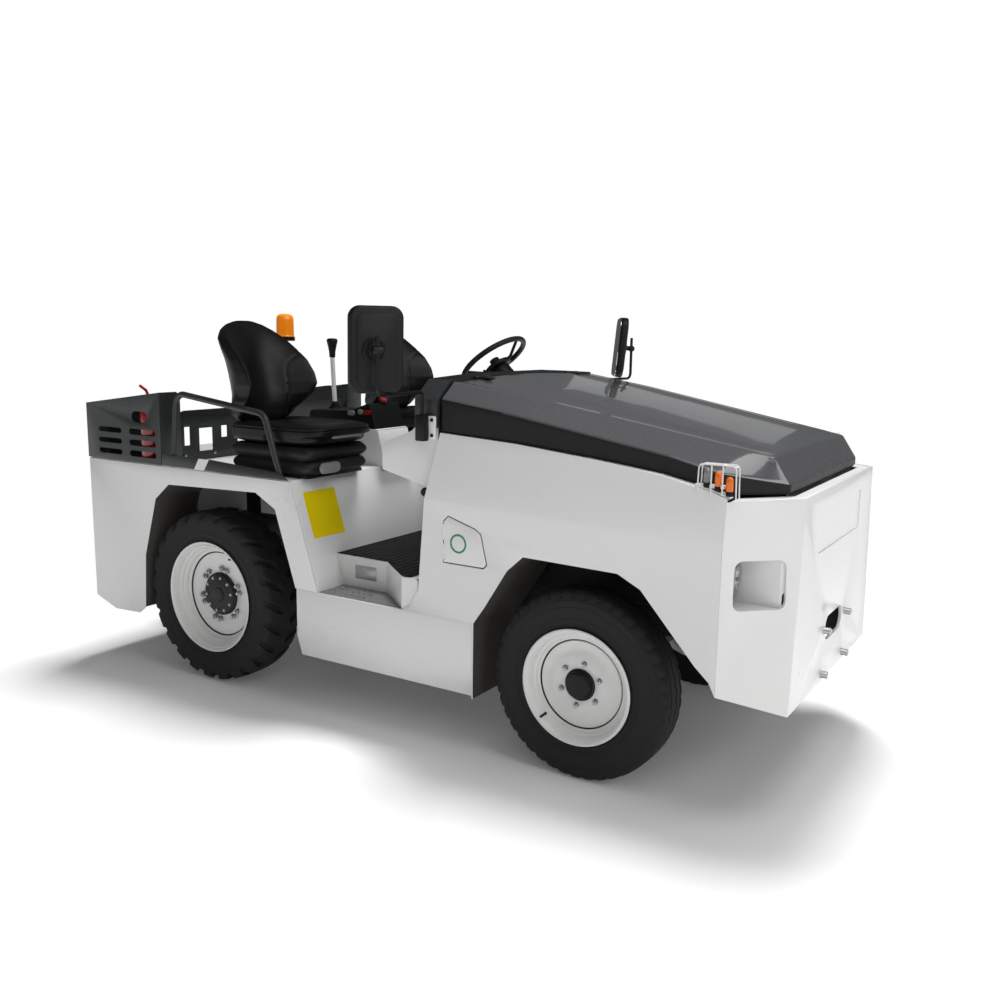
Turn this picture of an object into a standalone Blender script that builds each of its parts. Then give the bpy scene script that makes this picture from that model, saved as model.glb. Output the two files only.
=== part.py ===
"""Airport baggage tug: battery tow tractor with two seats, an open cab and a long bonnet.

Metres, +Z up. The nose points to -Y and the ground is z = 0. Every left and right pair
is built by one function that takes side = -1 (right) or +1 (left).
"""
import math

import bmesh
import bpy
from mathutils import Matrix, Vector

# Overall driving sizes
HALF_WIDTH = 0.750
FRONT_Y = -1.863
REAR_Y = 1.735
FRONT_AXLE_Y = -1.090
REAR_AXLE_Y = 0.910
GAP = 0.0003
MOVING_GAP = 0.005
SHEET = 0.006
PANEL = 0.008
NOSE_PLATE = 0.014
TAIL_PLATE = 0.012

# Heights of the body
SILL_BOTTOM_Z = 0.245
SILL_BEND_Z = 0.345
STEP_Z = 0.560
FLOOR_Z = 0.700
DECK_Z = 1.045
TRIM_TOP_Z = 1.100
TAIL_BOX_REAR_Z = 1.323
TAIL_BOX_FRONT_Z = 1.397

# Cab
FLOOR_HALF = 0.570
SILL_BOTTOM_HALF = 0.720
SILL_LIP_HALF = 0.590
STEP_REAR_Y = 0.178
SEAT_BOX_TOP_Y = 0.335
STEP_WALL_REAR_Y = -0.063
STEP_WALL_FRONT_Y = -0.282
FENDER_RETURN_Y = -0.360
PANEL_REAR_TOP_Y = -0.452
PANEL_REAR_LOW_Y = -0.374

# Bonnet line and lean of the upper side panel
CREASE_REAR_Z = 1.040
CREASE_FRONT_Z = 1.003
LEAN = 0.160
CORNER_Y = -1.650
NOSE_TOP_Z = 1.160
NOSE_BOTTOM_Z = 0.390
NOSE_TOP_HALF = 0.520
NOSE_BOTTOM_HALF = 0.590
CORNER_BOTTOM_Z = 0.468
FLANGE_DEPTH = 0.050

# Frame
RAIL_HALF = 0.280
RAIL_WIDTH = 0.080
RAIL_BOTTOM_Z = 0.500
RAIL_TOP_Z = 0.620

# Wheels
FRONT_TYRE_RADIUS = 0.375
FRONT_TYRE_WIDTH = 0.168
FRONT_RIM_RADIUS = 0.230
FRONT_TRACK_HALF = 0.627
REAR_TYRE_RADIUS = 0.420
REAR_TYRE_WIDTH = 0.226
REAR_RIM_RADIUS = 0.272
REAR_TRACK_HALF = 0.618
KINGPIN_HALF = 0.500
KINGPIN_RADIUS = 0.016
SPINDLE_RADIUS = 0.026
REAR_STUB_RADIUS = 0.040
STEER_LIMIT_DEG = 30.0
LUG_COUNT = 14
LUG_DEPTH = 0.020
RIM_FLANGE = 0.018

# Seats
SEAT_X = 0.485
SEAT_WIDTH = 0.450
SEAT_BASE_Y = 0.520
SEAT_BASE_TOP_Z = 1.185
CUSHION_TOP_Z = 1.290
SEAT_BACK_TOP_Z = 1.745
RAIL_X = 0.7285

# Mirrors
SCUTTLE_HALF = 0.714
MIRROR_FOOT_Y = -0.388
MIRROR_CENTRE = (1.045, -0.420, 1.635)
MIRROR_TURN_DEG = 32.0

# Console and lever
TUNNEL_HALF = 0.120
TUNNEL_TOP_Z = 1.225
LEVER_RADIUS = 0.0115
LEVER_FOOT = (0.050, 0.770, 1.3013)
LEVER_HEAD = (0.050, 0.785, 1.565)
# Lever knob: radius, height above the lever's head
LEVER_KNOB = ((0.000, 0.000), (0.015, 0.000), (0.017, 0.030), (0.024, 0.065), (0.029, 0.084),
              (0.024, 0.095), (0.000, 0.099))

# Steering
WHEEL_X = 0.480
WHEEL_Y = 0.054
WHEEL_Z = 1.565
WHEEL_RADIUS = 0.180
COLUMN_TILT_DEG = 38.0

# Hinges
BONNET_SEAM = 0.008
BONNET_HINGE_X = 0.400
BONNET_HINGE_Y = -0.4475
BONNET_HINGE_Z = 1.518
BONNET_BARREL_RADIUS = 0.0062
FLAP_BARREL_RADIUS = 0.004
BARREL_ROLL = math.radians(7)

# Tow jaw at the tail
HITCH_TIP_Y = 1.893
HITCH_SHELF_HALF = 0.060
HITCH_SHELF_Z = (0.350, 0.430, 0.510)
HITCH_SHELF = 0.020
HITCH_PIN_Y = 1.845
HITCH_PIN_RADIUS = 0.014

# name: colour, roughness, metallic
FINISHES = {
    "white_paint": ((0.80, 0.80, 0.79), 0.35, 0.0),
    "grey_paint": ((0.075, 0.077, 0.080), 0.45, 0.0),
    "bonnet_grey": ((0.100, 0.102, 0.105), 0.25, 0.0),
    "black_paint": ((0.020, 0.020, 0.022), 0.50, 0.0),
    "black_vinyl": ((0.014, 0.014, 0.015), 0.55, 0.0),
    "black_plastic": ((0.018, 0.018, 0.020), 0.60, 0.0),
    "tyre_rubber": ((0.012, 0.012, 0.012), 0.85, 0.0),
    "bare_steel": ((0.45, 0.45, 0.46), 0.35, 1.0),
    "red_paint": ((0.45, 0.010, 0.010), 0.30, 0.0),
    "amber_lens": ((0.85, 0.200, 0.010), 0.20, 0.0),
    "red_lens": ((0.50, 0.010, 0.010), 0.20, 0.0),
    "lamp_glass": ((0.70, 0.72, 0.75), 0.10, 0.0),
}

PLANES = {
    "XY": Matrix(((1, 0, 0), (0, 1, 0), (0, 0, 1))).to_4x4(),
    "XZ": Matrix(((1, 0, 0), (0, 0, -1), (0, 1, 0))).to_4x4(),
    "YZ": Matrix(((0, 0, 1), (1, 0, 0), (0, 1, 0))).to_4x4(),
}
SIDES = ((-1, "right"), (1, "left"))


def new_collection(name):
    """Make a collection under the scene."""
    collection = bpy.data.collections.new(name)
    bpy.context.scene.collection.children.link(collection)
    return collection


def clear_scene():
    """Remove every object, so that the file starts empty."""
    for item in list(bpy.data.objects):
        bpy.data.objects.remove(item, do_unlink=True)


clear_scene()
PARTS = new_collection("baggage_tug")
CUTTERS = new_collection("cutters")


def finish(name):
    """Principled material for one finish."""
    material = bpy.data.materials.get(name)
    if material:
        return material
    colour, roughness, metallic = FINISHES[name]
    material = bpy.data.materials.new(name)
    material.use_nodes = True
    shader = material.node_tree.nodes["Principled BSDF"]
    shader.inputs["Base Color"].default_value = (*colour, 1.0)
    shader.inputs["Roughness"].default_value = roughness
    shader.inputs["Metallic"].default_value = metallic
    return material


def add_object(name, mesh, finish_name=None):
    """Put a mesh in the parts collection, or with no finish among the cutters."""
    item = bpy.data.objects.new(name, mesh)
    if finish_name:
        PARTS.objects.link(item)
        own = finish(finish_name).copy()
        own.name = name
        item.data.materials.clear()
        item.data.materials.append(own)
    else:
        CUTTERS.objects.link(item)
        item.hide_render = True
        item.display_type = "WIRE"
    return item


def mesh_from(name, bm):
    """Turn a bmesh into a mesh with outward normals."""
    bmesh.ops.recalc_face_normals(bm, faces=bm.faces)
    mesh = bpy.data.meshes.new(name)
    bm.to_mesh(mesh)
    bm.free()
    return mesh


def box(name, low, high, finish_name=None):
    """Box between two corners."""
    bm = bmesh.new()
    size = [b - a for a, b in zip(low, high)]
    middle = [(a + b) / 2 for a, b in zip(low, high)]
    bmesh.ops.create_cube(bm, size=1.0)
    bmesh.ops.scale(bm, vec=size, verts=bm.verts)
    bmesh.ops.translate(bm, vec=middle, verts=bm.verts)
    return add_object(name, mesh_from(name, bm), finish_name)


def side_box(name, side, inner, outer, y_range, z_range, finish_name=None):
    """Box on one side, from the inner to the outer distance from the centre plane."""
    xs = sorted((side * inner, side * outer))
    return box(name, (xs[0], y_range[0], z_range[0]), (xs[1], y_range[1], z_range[1]), finish_name)


def aim(direction):
    """Rotation that turns local +Z to the direction."""
    return Vector(direction).to_track_quat("Z", "Y").to_matrix().to_4x4()


def rod(name, start, end, radius, segments=16, finish_name=None, end_radius=None, roll=0.0):
    """Round bar or cone between two points, turned about itself by roll."""
    start, end = Vector(start), Vector(end)
    bm = bmesh.new()
    bmesh.ops.create_cone(bm, cap_ends=True, segments=segments, radius1=radius,
                          radius2=radius if end_radius is None else end_radius,
                          depth=(end - start).length)
    turn = aim(end - start) @ Matrix.Rotation(roll, 4, "Z")
    bmesh.ops.transform(bm, matrix=Matrix.Translation((start + end) / 2) @ turn, verts=bm.verts)
    return add_object(name, mesh_from(name, bm), finish_name)


def baked_mesh(item, name):
    """Mesh of an object as it evaluates, in world space, with its doubles merged."""
    bpy.context.view_layer.update()
    graph = bpy.context.evaluated_depsgraph_get()
    mesh = bpy.data.meshes.new_from_object(item.evaluated_get(graph))
    mesh.name = name
    bm = bmesh.new()
    bm.from_mesh(mesh)
    bmesh.ops.transform(bm, matrix=item.matrix_world, verts=bm.verts)
    bmesh.ops.remove_doubles(bm, verts=bm.verts, dist=0.00001)
    bmesh.ops.recalc_face_normals(bm, faces=bm.faces)
    bm.to_mesh(mesh)
    bm.free()
    return mesh


def plate(name, outline, plane, low, thickness, finish_name=None, holes=()):
    """Flat plate: a filled 2D curve, from low to low + thickness along the plane's normal."""
    curve = bpy.data.curves.new(name, "CURVE")
    curve.dimensions = "2D"
    curve.fill_mode = "BOTH"
    curve.extrude = thickness / 2
    for points in (outline, *holes):
        spline = curve.splines.new("POLY")
        spline.points.add(len(points) - 1)
        for slot, (a, b) in zip(spline.points, points):
            slot.co = (a, b, 0, 1)
        spline.use_cyclic_u = True
    guide = bpy.data.objects.new(name + "_curve", curve)
    CUTTERS.objects.link(guide)
    turn = PLANES[plane]
    normal = Vector((abs(turn[0][2]), abs(turn[1][2]), abs(turn[2][2])))
    guide.matrix_world = Matrix.Translation(normal * (low + thickness / 2)) @ turn
    mesh = baked_mesh(guide, name)
    bpy.data.objects.remove(guide, do_unlink=True)
    return add_object(name, mesh, finish_name)


def side_plate(name, outline, outer, thickness, side, finish_name=None, holes=()):
    """Plate in the YZ plane whose outer face is at the given distance from the centre plane."""
    low = outer - thickness if side > 0 else -outer
    return plate(name, outline, "YZ", low, thickness, finish_name, holes)


def rounded(corners, steps=4):
    """Closed outline from corners (a, b, radius), each radius drawn as an arc."""
    points = []
    count = len(corners)
    for index, (a, b, radius) in enumerate(corners):
        here = Vector((a, b))
        if radius <= 0:
            points.append((a, b))
            continue
        before = (Vector(corners[index - 1][:2]) - here).normalized()
        after = (Vector(corners[(index + 1) % count][:2]) - here).normalized()
        half = before.angle(after) / 2
        centre = here + (before + after).normalized() * (radius / math.sin(half))
        first = here + before * (radius / math.tan(half)) - centre
        last = here + after * (radius / math.tan(half)) - centre
        sweep = first.angle_signed(last)
        for step in range(steps + 1):
            turn = Matrix.Rotation(-sweep * step / steps, 2)
            points.append(tuple(centre + turn @ first))
    return points


def band(line, thickness):
    """Closed outline of a bent strip: the line and its copy set off to the left by thickness."""
    line = [Vector(point) for point in line]
    offset = []
    for index, point in enumerate(line):
        before = (point - line[index - 1]).normalized() if index else None
        after = (line[index + 1] - point).normalized() if index < len(line) - 1 else None
        first, second = before or after, after or before
        normal = Vector((-first.y - second.y, first.x + second.x)).normalized()
        reach = thickness / max(normal.dot(Vector((-second.y, second.x))), 0.3)
        offset.append(point + normal * reach)
    return [tuple(point) for point in line] + [tuple(point) for point in reversed(offset)]


def tube(name, points, radius, finish_name=None, resolution=3, smooth=True):
    """Round tube along a path, its ends capped."""
    curve = bpy.data.curves.new(name, "CURVE")
    curve.dimensions = "3D"
    curve.bevel_depth = radius
    curve.bevel_resolution = resolution
    curve.use_fill_caps = True
    path = round_path(points) if smooth else [Vector(point) for point in points]
    spline = curve.splines.new("POLY")
    spline.points.add(len(path) - 1)
    for slot, point in zip(spline.points, path):
        slot.co = (*point, 1)
    guide = bpy.data.objects.new(name + "_curve", curve)
    CUTTERS.objects.link(guide)
    mesh = baked_mesh(guide, name)
    bpy.data.objects.remove(guide, do_unlink=True)
    return add_object(name, mesh, finish_name)


def round_path(points, steps=4):
    """Path through points (x, y, z, radius), with each bend drawn as an arc of its radius."""
    path = []
    for index, point in enumerate(points):
        here = Vector(point[:3])
        radius = point[3] if len(point) > 3 else 0
        if radius <= 0 or index in (0, len(points) - 1):
            path.append(here)
            continue
        before = (Vector(points[index - 1][:3]) - here).normalized()
        after = (Vector(points[index + 1][:3]) - here).normalized()
        half = before.angle(after) / 2
        centre = here + (before + after).normalized() * (radius / math.sin(half))
        first = here + before * (radius / math.tan(half)) - centre
        last = here + after * (radius / math.tan(half)) - centre
        axis = first.cross(last).normalized()
        sweep = first.angle(last)
        for step in range(steps + 1):
            turn = Matrix.Rotation(sweep * step / steps, 3, axis)
            path.append(centre + turn @ first)
    return path


def turned(name, profile, centre, direction, steps=32, finish_name=None):
    """Solid of revolution from points (radius, height along the direction)."""
    area = sum(a[0] * b[1] - b[0] * a[1] for a, b in zip(profile, profile[1:] + profile[:1]))
    ordered = list(profile) if area < 0 else list(reversed(profile))
    closed = not (ordered[0][0] == 0 and ordered[-1][0] == 0)
    mesh = bpy.data.meshes.new(name)
    edges = [(i, i + 1) for i in range(len(ordered) - 1)]
    if closed:
        edges.append((len(ordered) - 1, 0))
    mesh.from_pydata([(radius, 0, height) for radius, height in ordered], edges, [])
    guide = bpy.data.objects.new(name + "_profile", mesh)
    CUTTERS.objects.link(guide)
    screw = guide.modifiers.new("turn", "SCREW")
    screw.axis = "Z"
    screw.steps = steps
    screw.render_steps = steps
    screw.use_merge_vertices = True
    screw.merge_threshold = 0.00005
    guide.matrix_world = Matrix.Translation(centre) @ aim(direction)
    solid = baked_mesh(guide, name)
    bpy.data.objects.remove(guide, do_unlink=True)
    return add_object(name, solid, finish_name)


def loft(name, rings, finish_name=None, subdivisions=0):
    """Closed solid through rings of equal point count, with flat ends."""
    bm = bmesh.new()
    rows = [[bm.verts.new(point) for point in ring] for ring in rings]
    count = len(rows[0])
    for lower, upper in zip(rows, rows[1:]):
        for index in range(count):
            following = (index + 1) % count
            bm.faces.new((lower[index], lower[following], upper[following], upper[index]))
    bm.faces.new(rows[0])
    bm.faces.new(rows[-1])
    item = add_object(name, mesh_from(name, bm), finish_name)
    if subdivisions:
        soft = item.modifiers.new("soft", "SUBSURF")
        soft.levels = subdivisions
        soft.render_levels = subdivisions
    return item


def combine(target, tools, operation="UNION"):
    """Boolean each tool into or out of the target, in order, and weld what doubles are left."""
    for tool in tools:
        step = target.modifiers.new(tool.name, "BOOLEAN")
        step.operation = operation
        step.solver = "EXACT"
        step.object = tool
    weld = target.modifiers.new("weld", "WELD")
    weld.merge_threshold = 0.00001
    return target


def cut(target, tools):
    """Cut each tool out of the target."""
    return combine(target, tools, "DIFFERENCE")


def thicken(item, thickness):
    """Give an open surface its wall on the inner side, in flat triangles."""
    wall = item.modifiers.new("wall", "SOLIDIFY")
    wall.thickness = thickness
    wall.offset = -1
    wall.use_even_offset = True
    item.modifiers.new("flat", "TRIANGULATE")


def soften(item, width, segments=2, angle_deg=40):
    """Round the sharp edges of a piece."""
    bevel = item.modifiers.new("edges", "BEVEL")
    bevel.width = width
    bevel.segments = segments
    bevel.limit_method = "ANGLE"
    bevel.angle_limit = math.radians(angle_deg)
    return item


def hang_on(item, point, name):
    """Parent a moving piece to an empty at its joint, both with their origin on the axis."""
    point = Vector(point)
    empty = bpy.data.objects.get(name)
    if empty is None:
        empty = bpy.data.objects.new(name, None)
        PARTS.objects.link(empty)
        empty.location = point
    bpy.context.view_layer.update()
    item.data.transform(item.matrix_world)
    item.data.transform(Matrix.Translation(-point))
    item.matrix_world = Matrix.Identity(4)
    item.parent = empty
    return item


def crease_z(y):
    """Height of the side panel's crease at y."""
    share = (y - PANEL_REAR_TOP_Y) / (CORNER_Y - PANEL_REAR_TOP_Y)
    return CREASE_REAR_Z + (CREASE_FRONT_Z - CREASE_REAR_Z) * share


def lean_in(item, side):
    """Fold what lies above the crease line towards the centre plane."""
    bm = bmesh.new()
    bm.from_mesh(item.data)
    slope = (CREASE_FRONT_Z - CREASE_REAR_Z) / (CORNER_Y - PANEL_REAR_TOP_Y)
    bmesh.ops.bisect_plane(bm, geom=bm.verts[:] + bm.edges[:] + bm.faces[:], dist=0.00001,
                           plane_co=(0, PANEL_REAR_TOP_Y, CREASE_REAR_Z), plane_no=(0, -slope, 1))
    for vert in bm.verts:
        height = vert.co.z - crease_z(vert.co.y)
        if height > 0:
            vert.co.x -= side * LEAN * height
    bm.to_mesh(item.data)
    bm.free()
    return item


# Side view lines (y, z) of the body panels
TOP_LINE = ((-0.452, 1.306), (-0.800, 1.287), (-1.160, 1.252), (-1.400, 1.222), (-1.600, 1.178),
            (-1.6497, 1.160))
FRONT_ARCH = ((-0.646, 0.560), (-0.702, 0.640), (-0.801, 0.798), (-0.870, 0.861), (-1.265, 0.853),
              (-1.357, 0.807), (-1.572, 0.564), (-1.625, 0.516))
REAR_ARCH = ((0.311, 0.5603), (0.427, 0.907), (0.547, 0.972), (1.135, 0.954), (1.235, 0.874),
             (1.328, 0.580), (1.346, 0.307))
FLAP = ((-0.503, 0.794), (-0.503, 0.960), (-0.522, 0.979), (-0.651, 0.941), (-0.675, 0.924),
        (-0.704, 0.808), (-0.690, 0.794))
FLAP_BARREL_Z = ((0.825, 0.850), (0.905, 0.930))
BARREL_LENGTH = 0.020


def top_z(y):
    """Height of the side panel's top edge at y."""
    for (y0, z0), (y1, z1) in zip(TOP_LINE, TOP_LINE[1:]):
        if y >= y1:
            return z0 + (z1 - z0) * (y - y0) / (y1 - y0)
    return TOP_LINE[-1][1]


def panel_x(y, z):
    """Distance of the side panel's outer face from the centre plane."""
    return HALF_WIDTH - LEAN * max(0.0, z - crease_z(y))


def grown(outline, amount):
    """Convex outline moved out all round by an amount."""
    centre = Vector((sum(p[0] for p in outline), sum(p[1] for p in outline))) / len(outline)
    points = []
    count = len(outline)
    for index, point in enumerate(outline):
        here = Vector(point)
        before = (here - Vector(outline[index - 1])).normalized()
        after = (Vector(outline[(index + 1) % count]) - here).normalized()
        normals = []
        for edge in (before, after):
            normal = Vector((-edge.y, edge.x))
            if normal.dot(here - centre) < 0:
                normal = -normal
            normals.append(normal)
        mean = (normals[0] + normals[1]).normalized()
        points.append(tuple(here + mean * amount / mean.dot(normals[0])))
    return points


def build_front_fender(side, word):
    """Front side panel with its arch liner, rear return, top flange and wing plate."""
    name = "front_fender_" + word
    front_y = CORNER_Y + GAP
    outline = [*TOP_LINE, (front_y, CORNER_BOTTOM_Z), *reversed(FRONT_ARCH[1:]),
               (FRONT_ARCH[0][0], STEP_Z + GAP), (-0.290, STEP_Z + GAP), (-0.325, 0.580),
               (PANEL_REAR_LOW_Y, 0.657), (-0.404, CREASE_REAR_Z)]
    panel = lean_in(side_plate(name, outline, HALF_WIDTH, PANEL, side, "white_paint"), side)
    arch_line = [(FRONT_ARCH[0][0], SILL_BOTTOM_Z), *FRONT_ARCH]
    strip = band(arch_line, -SHEET)
    depth = 0.380
    xs = sorted((side * (HALF_WIDTH - 0.001), side * (HALF_WIDTH - depth)))
    liner = plate(name + "_liner", strip, "YZ", xs[0], xs[1] - xs[0])
    rear_return = build_rear_return(name, side)
    flange = band([(y, z - 0.001) for y, z in TOP_LINE], SHEET)
    top_x = HALF_WIDTH - LEAN * 0.262
    xs = sorted((side * (top_x - 0.003), side * (top_x - FLANGE_DEPTH)))
    top_flange = plate(name + "_flange", flange, "YZ", xs[0], xs[1] - xs[0])
    wing_line = [(-0.440, 1.070), (-0.370, 1.083), (-0.151, 1.134), (-0.151, 1.240),
                 (-0.165, 1.250), (-0.300, 1.303), (-0.326, 1.3247), (-0.435, 1.3247)]
    wing = side_plate(name + "_wing", wing_line, 0.7005, SHEET, side)
    combine(panel, [liner, rear_return, top_flange, wing])
    if side < 0:
        add_charge_port(panel)
    return panel


def build_rear_return(name, side):
    """Inward fold along the raked rear edge of the front side panel."""
    low_z, high_z = 0.660, 1.295
    inner = HALF_WIDTH - 0.0515
    skin = PANEL / 2
    outline = [(side * inner, low_z), (side * (HALF_WIDTH - skin), low_z),
               (side * (HALF_WIDTH - skin), CREASE_REAR_Z),
               (side * (panel_x(PANEL_REAR_TOP_Y, high_z) - skin), high_z), (side * inner, high_z)]
    fold = plate(name + "_return", outline, "XZ", 0.0, SHEET)
    slope = (PANEL_REAR_TOP_Y - PANEL_REAR_LOW_Y) / (TOP_LINE[0][1] - low_z)
    for vert in fold.data.vertices:
        vert.co.y += PANEL_REAR_LOW_Y - SHEET - 0.001 + slope * (vert.co.z - low_z)
    return fold


def add_charge_port(panel):
    """Cut the flap's opening and weld the socket pan and the fixed hinge barrels in."""
    opening = plate("flap_opening", grown(FLAP, MOVING_GAP), "YZ", -HALF_WIDTH - 0.02, 0.05)
    pan = plate("charge_pan", grown(FLAP, 0.022), "YZ", -HALF_WIDTH + PANEL - 0.001, 0.060)
    pocket = plate("charge_pocket", grown(FLAP, MOVING_GAP), "YZ", -HALF_WIDTH - 0.02,
                   0.02 + PANEL + 0.050)
    socket = rod("charge_socket", (-0.700, -0.585, 0.870), (-0.676, -0.585, 0.870), 0.045, 20)
    combine(panel, [pan])
    cut(panel, [opening, pocket])
    combine(panel, [socket])
    axis_x = -HALF_WIDTH
    for index, (low, high) in enumerate(FLAP_BARREL_Z):
        for end, (z0, z1) in enumerate(((low - BARREL_LENGTH, low - GAP),
                                        (high + GAP, high + BARREL_LENGTH))):
            label = "flap_knuckle_%d%d" % (index, end)
            barrel = rod(label, (axis_x, FLAP[0][0], z0), (axis_x, FLAP[0][0], z1),
                         FLAP_BARREL_RADIUS, 12, roll=BARREL_ROLL)
            leaf = box(label + "_leaf", (axis_x - 0.001, FLAP[0][0], z0 + 0.001),
                       (axis_x + 0.002, FLAP[0][0] + 0.010, z1 - 0.001))
            combine(panel, [barrel, leaf])


def build_charge_flap():
    """Flap over the charging socket, hinged on its rear upright edge."""
    y_edge = FLAP[0][0]
    outline = [(y_edge, FLAP[0][1])]
    for low, high in FLAP_BARREL_Z:
        for z0, z1 in ((low - BARREL_LENGTH, low), (high, high + BARREL_LENGTH)):
            outline += [(y_edge, z0 - 0.001), (y_edge - 0.005, z0 - 0.001),
                        (y_edge - 0.005, z1 + 0.001), (y_edge, z1 + 0.001)]
    outline += list(FLAP[1:])
    flap = plate("charge_flap", outline, "YZ", -HALF_WIDTH, SHEET, "white_paint")
    for index, (low, high) in enumerate(FLAP_BARREL_Z):
        barrel = rod("flap_barrel_%d" % index, (-HALF_WIDTH, y_edge, low),
                     (-HALF_WIDTH, y_edge, high), FLAP_BARREL_RADIUS, 12, roll=BARREL_ROLL)
        combine(flap, [barrel])
    return hang_on(flap, (-HALF_WIDTH, y_edge, FLAP[0][1]), "charge_flap_axis")


# Headlamp pocket behind the chamfer in plan (distance from the centre plane, y)
LAMP_POCKET = ((0.722, -1.6585), (0.580, -1.8075), (0.580, -1.607), (0.722, -1.607))
LAMP_Z = 0.860


def nose_line(z):
    """Plan points of the folded nose plate at a height, right to left."""
    share = (z - NOSE_BOTTOM_Z) / (NOSE_TOP_Z - NOSE_BOTTOM_Z)
    fold = NOSE_BOTTOM_HALF + (NOSE_TOP_HALF - NOSE_BOTTOM_HALF) * share
    corner = panel_x(CORNER_Y, z)
    return [(-corner, CORNER_Y - 0.0005), (-fold, FRONT_Y), (fold, FRONT_Y),
            (corner, CORNER_Y - 0.0005)]


def build_nose_plate():
    """Heavy folded front plate with the lamp recesses, the tow slot and a top flange."""
    heights = (NOSE_BOTTOM_Z, CREASE_FRONT_Z, NOSE_TOP_Z)
    corner_heights = (CORNER_BOTTOM_Z, CREASE_FRONT_Z, NOSE_TOP_Z - 0.010)
    bm = bmesh.new()
    rows = []
    for z, corner_z in zip(heights, corner_heights):
        line = nose_line(z)
        row = [bm.verts.new((x, y, corner_z if index in (0, 3) else z))
               for index, (x, y) in enumerate(line)]
        rows.append(row)
    for lower, upper in zip(rows, rows[1:]):
        for index in range(3):
            bm.faces.new((lower[index], lower[index + 1], upper[index + 1], upper[index]))
    bm.normal_update()
    mesh = bpy.data.meshes.new("nose_plate")
    bm.to_mesh(mesh)
    bm.free()
    nose = add_object("nose_plate", mesh, "white_paint")
    thicken(nose, NOSE_PLATE)
    pans, holes = [], []
    for side, word in SIDES:
        outline = rounded([(-0.098, -0.088, 0.03), (0.098, -0.088, 0.03), (0.098, 0.088, 0.03),
                           (-0.098, 0.088, 0.03)], 4)
        mouth = plate("lamp_mouth_" + word, outline, "XY", -0.020, 0.036)
        mouth.data.transform(lamp_mouth_matrix(side))
        pocket_line = [(side * x, y) for x, y in LAMP_POCKET]
        pan_line = [(side * 0.729, -1.662), (side * 0.574, -1.825),
                    (side * 0.574, LAMP_POCKET[2][1] + SHEET), (side * 0.729, LAMP_POCKET[2][1] + SHEET)]
        pans.append(plate("lamp_pan_" + word, pan_line, "XY", LAMP_Z - 0.094, 0.188))
        holes += [plate("lamp_pocket_" + word, pocket_line, "XY", LAMP_Z - 0.088, 0.176), mouth]
    flange = plate("nose_flange", nose_flange_outline(), "XY", NOSE_TOP_Z - 0.012, SHEET)
    combine(nose, [*pans, flange])
    slot = rounded([(-0.13, 0.545, 0.04), (0.13, 0.545, 0.04), (0.13, 0.640, 0.04),
                    (-0.13, 0.640, 0.04)], 3)
    tow_slot = plate("tow_slot", slot, "XZ", FRONT_Y - 0.02, 0.05)
    badge = rounded([(-0.32, 0.925, 0.01), (0.32, 0.925, 0.01), (0.32, 1.085, 0.01),
                     (-0.32, 1.085, 0.01)], 2)
    recess = plate("blank_recess", badge, "XZ", FRONT_Y - 0.02, 0.024)
    trims = [side_box("corner_trim_" + word, side, 0.700, 0.760, (CORNER_Y, CORNER_Y + 0.020),
                      (0.300, 1.200)) for side, word in SIDES]
    cut(nose, [*holes, tow_slot, recess, *trims])
    bolts = [rod("nose_bolt_%d%d" % (i, j), (x, FRONT_Y + 0.004, z), (x, FRONT_Y - 0.030, z),
                 0.015, 6) for i, x in enumerate((-0.165, 0.165))
             for j, z in enumerate((0.600, 0.425))]
    combine(nose, bolts)
    return nose


def nose_flange_outline():
    """Plan outline of the inward fold along the top of the nose plate."""
    line = nose_line(NOSE_TOP_Z)
    outer = [(-line[3][0] + 0.006, CORNER_Y - 0.012), (line[1][0] + 0.004, FRONT_Y + 0.006),
             (line[2][0] - 0.004, FRONT_Y + 0.006), (line[3][0] - 0.006, CORNER_Y - 0.012)]
    inner = [(0.640, CORNER_Y - 0.012), (0.470, FRONT_Y + 0.055), (-0.470, FRONT_Y + 0.055),
             (-0.640, CORNER_Y - 0.012)]
    return outer + inner


def lamp_mouth_matrix(side):
    """Frame of a lamp recess: origin on the chamfer face, local +Z into the vehicle."""
    z = LAMP_Z
    line = nose_line(z)
    outer, fold = Vector((*line[3], z)), Vector((*line[2], z))
    if side < 0:
        outer.x, fold.x = -outer.x, -fold.x
    along = (fold - outer).normalized() * side
    inward = Vector((0, 0, 1)).cross(along).normalized()
    if inward.y < 0:
        inward = -inward
    up = inward.cross(along).normalized()
    middle = (outer + fold) / 2
    turn = Matrix((along, up, inward)).transposed().to_4x4()
    return Matrix.Translation(middle) @ turn


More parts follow.
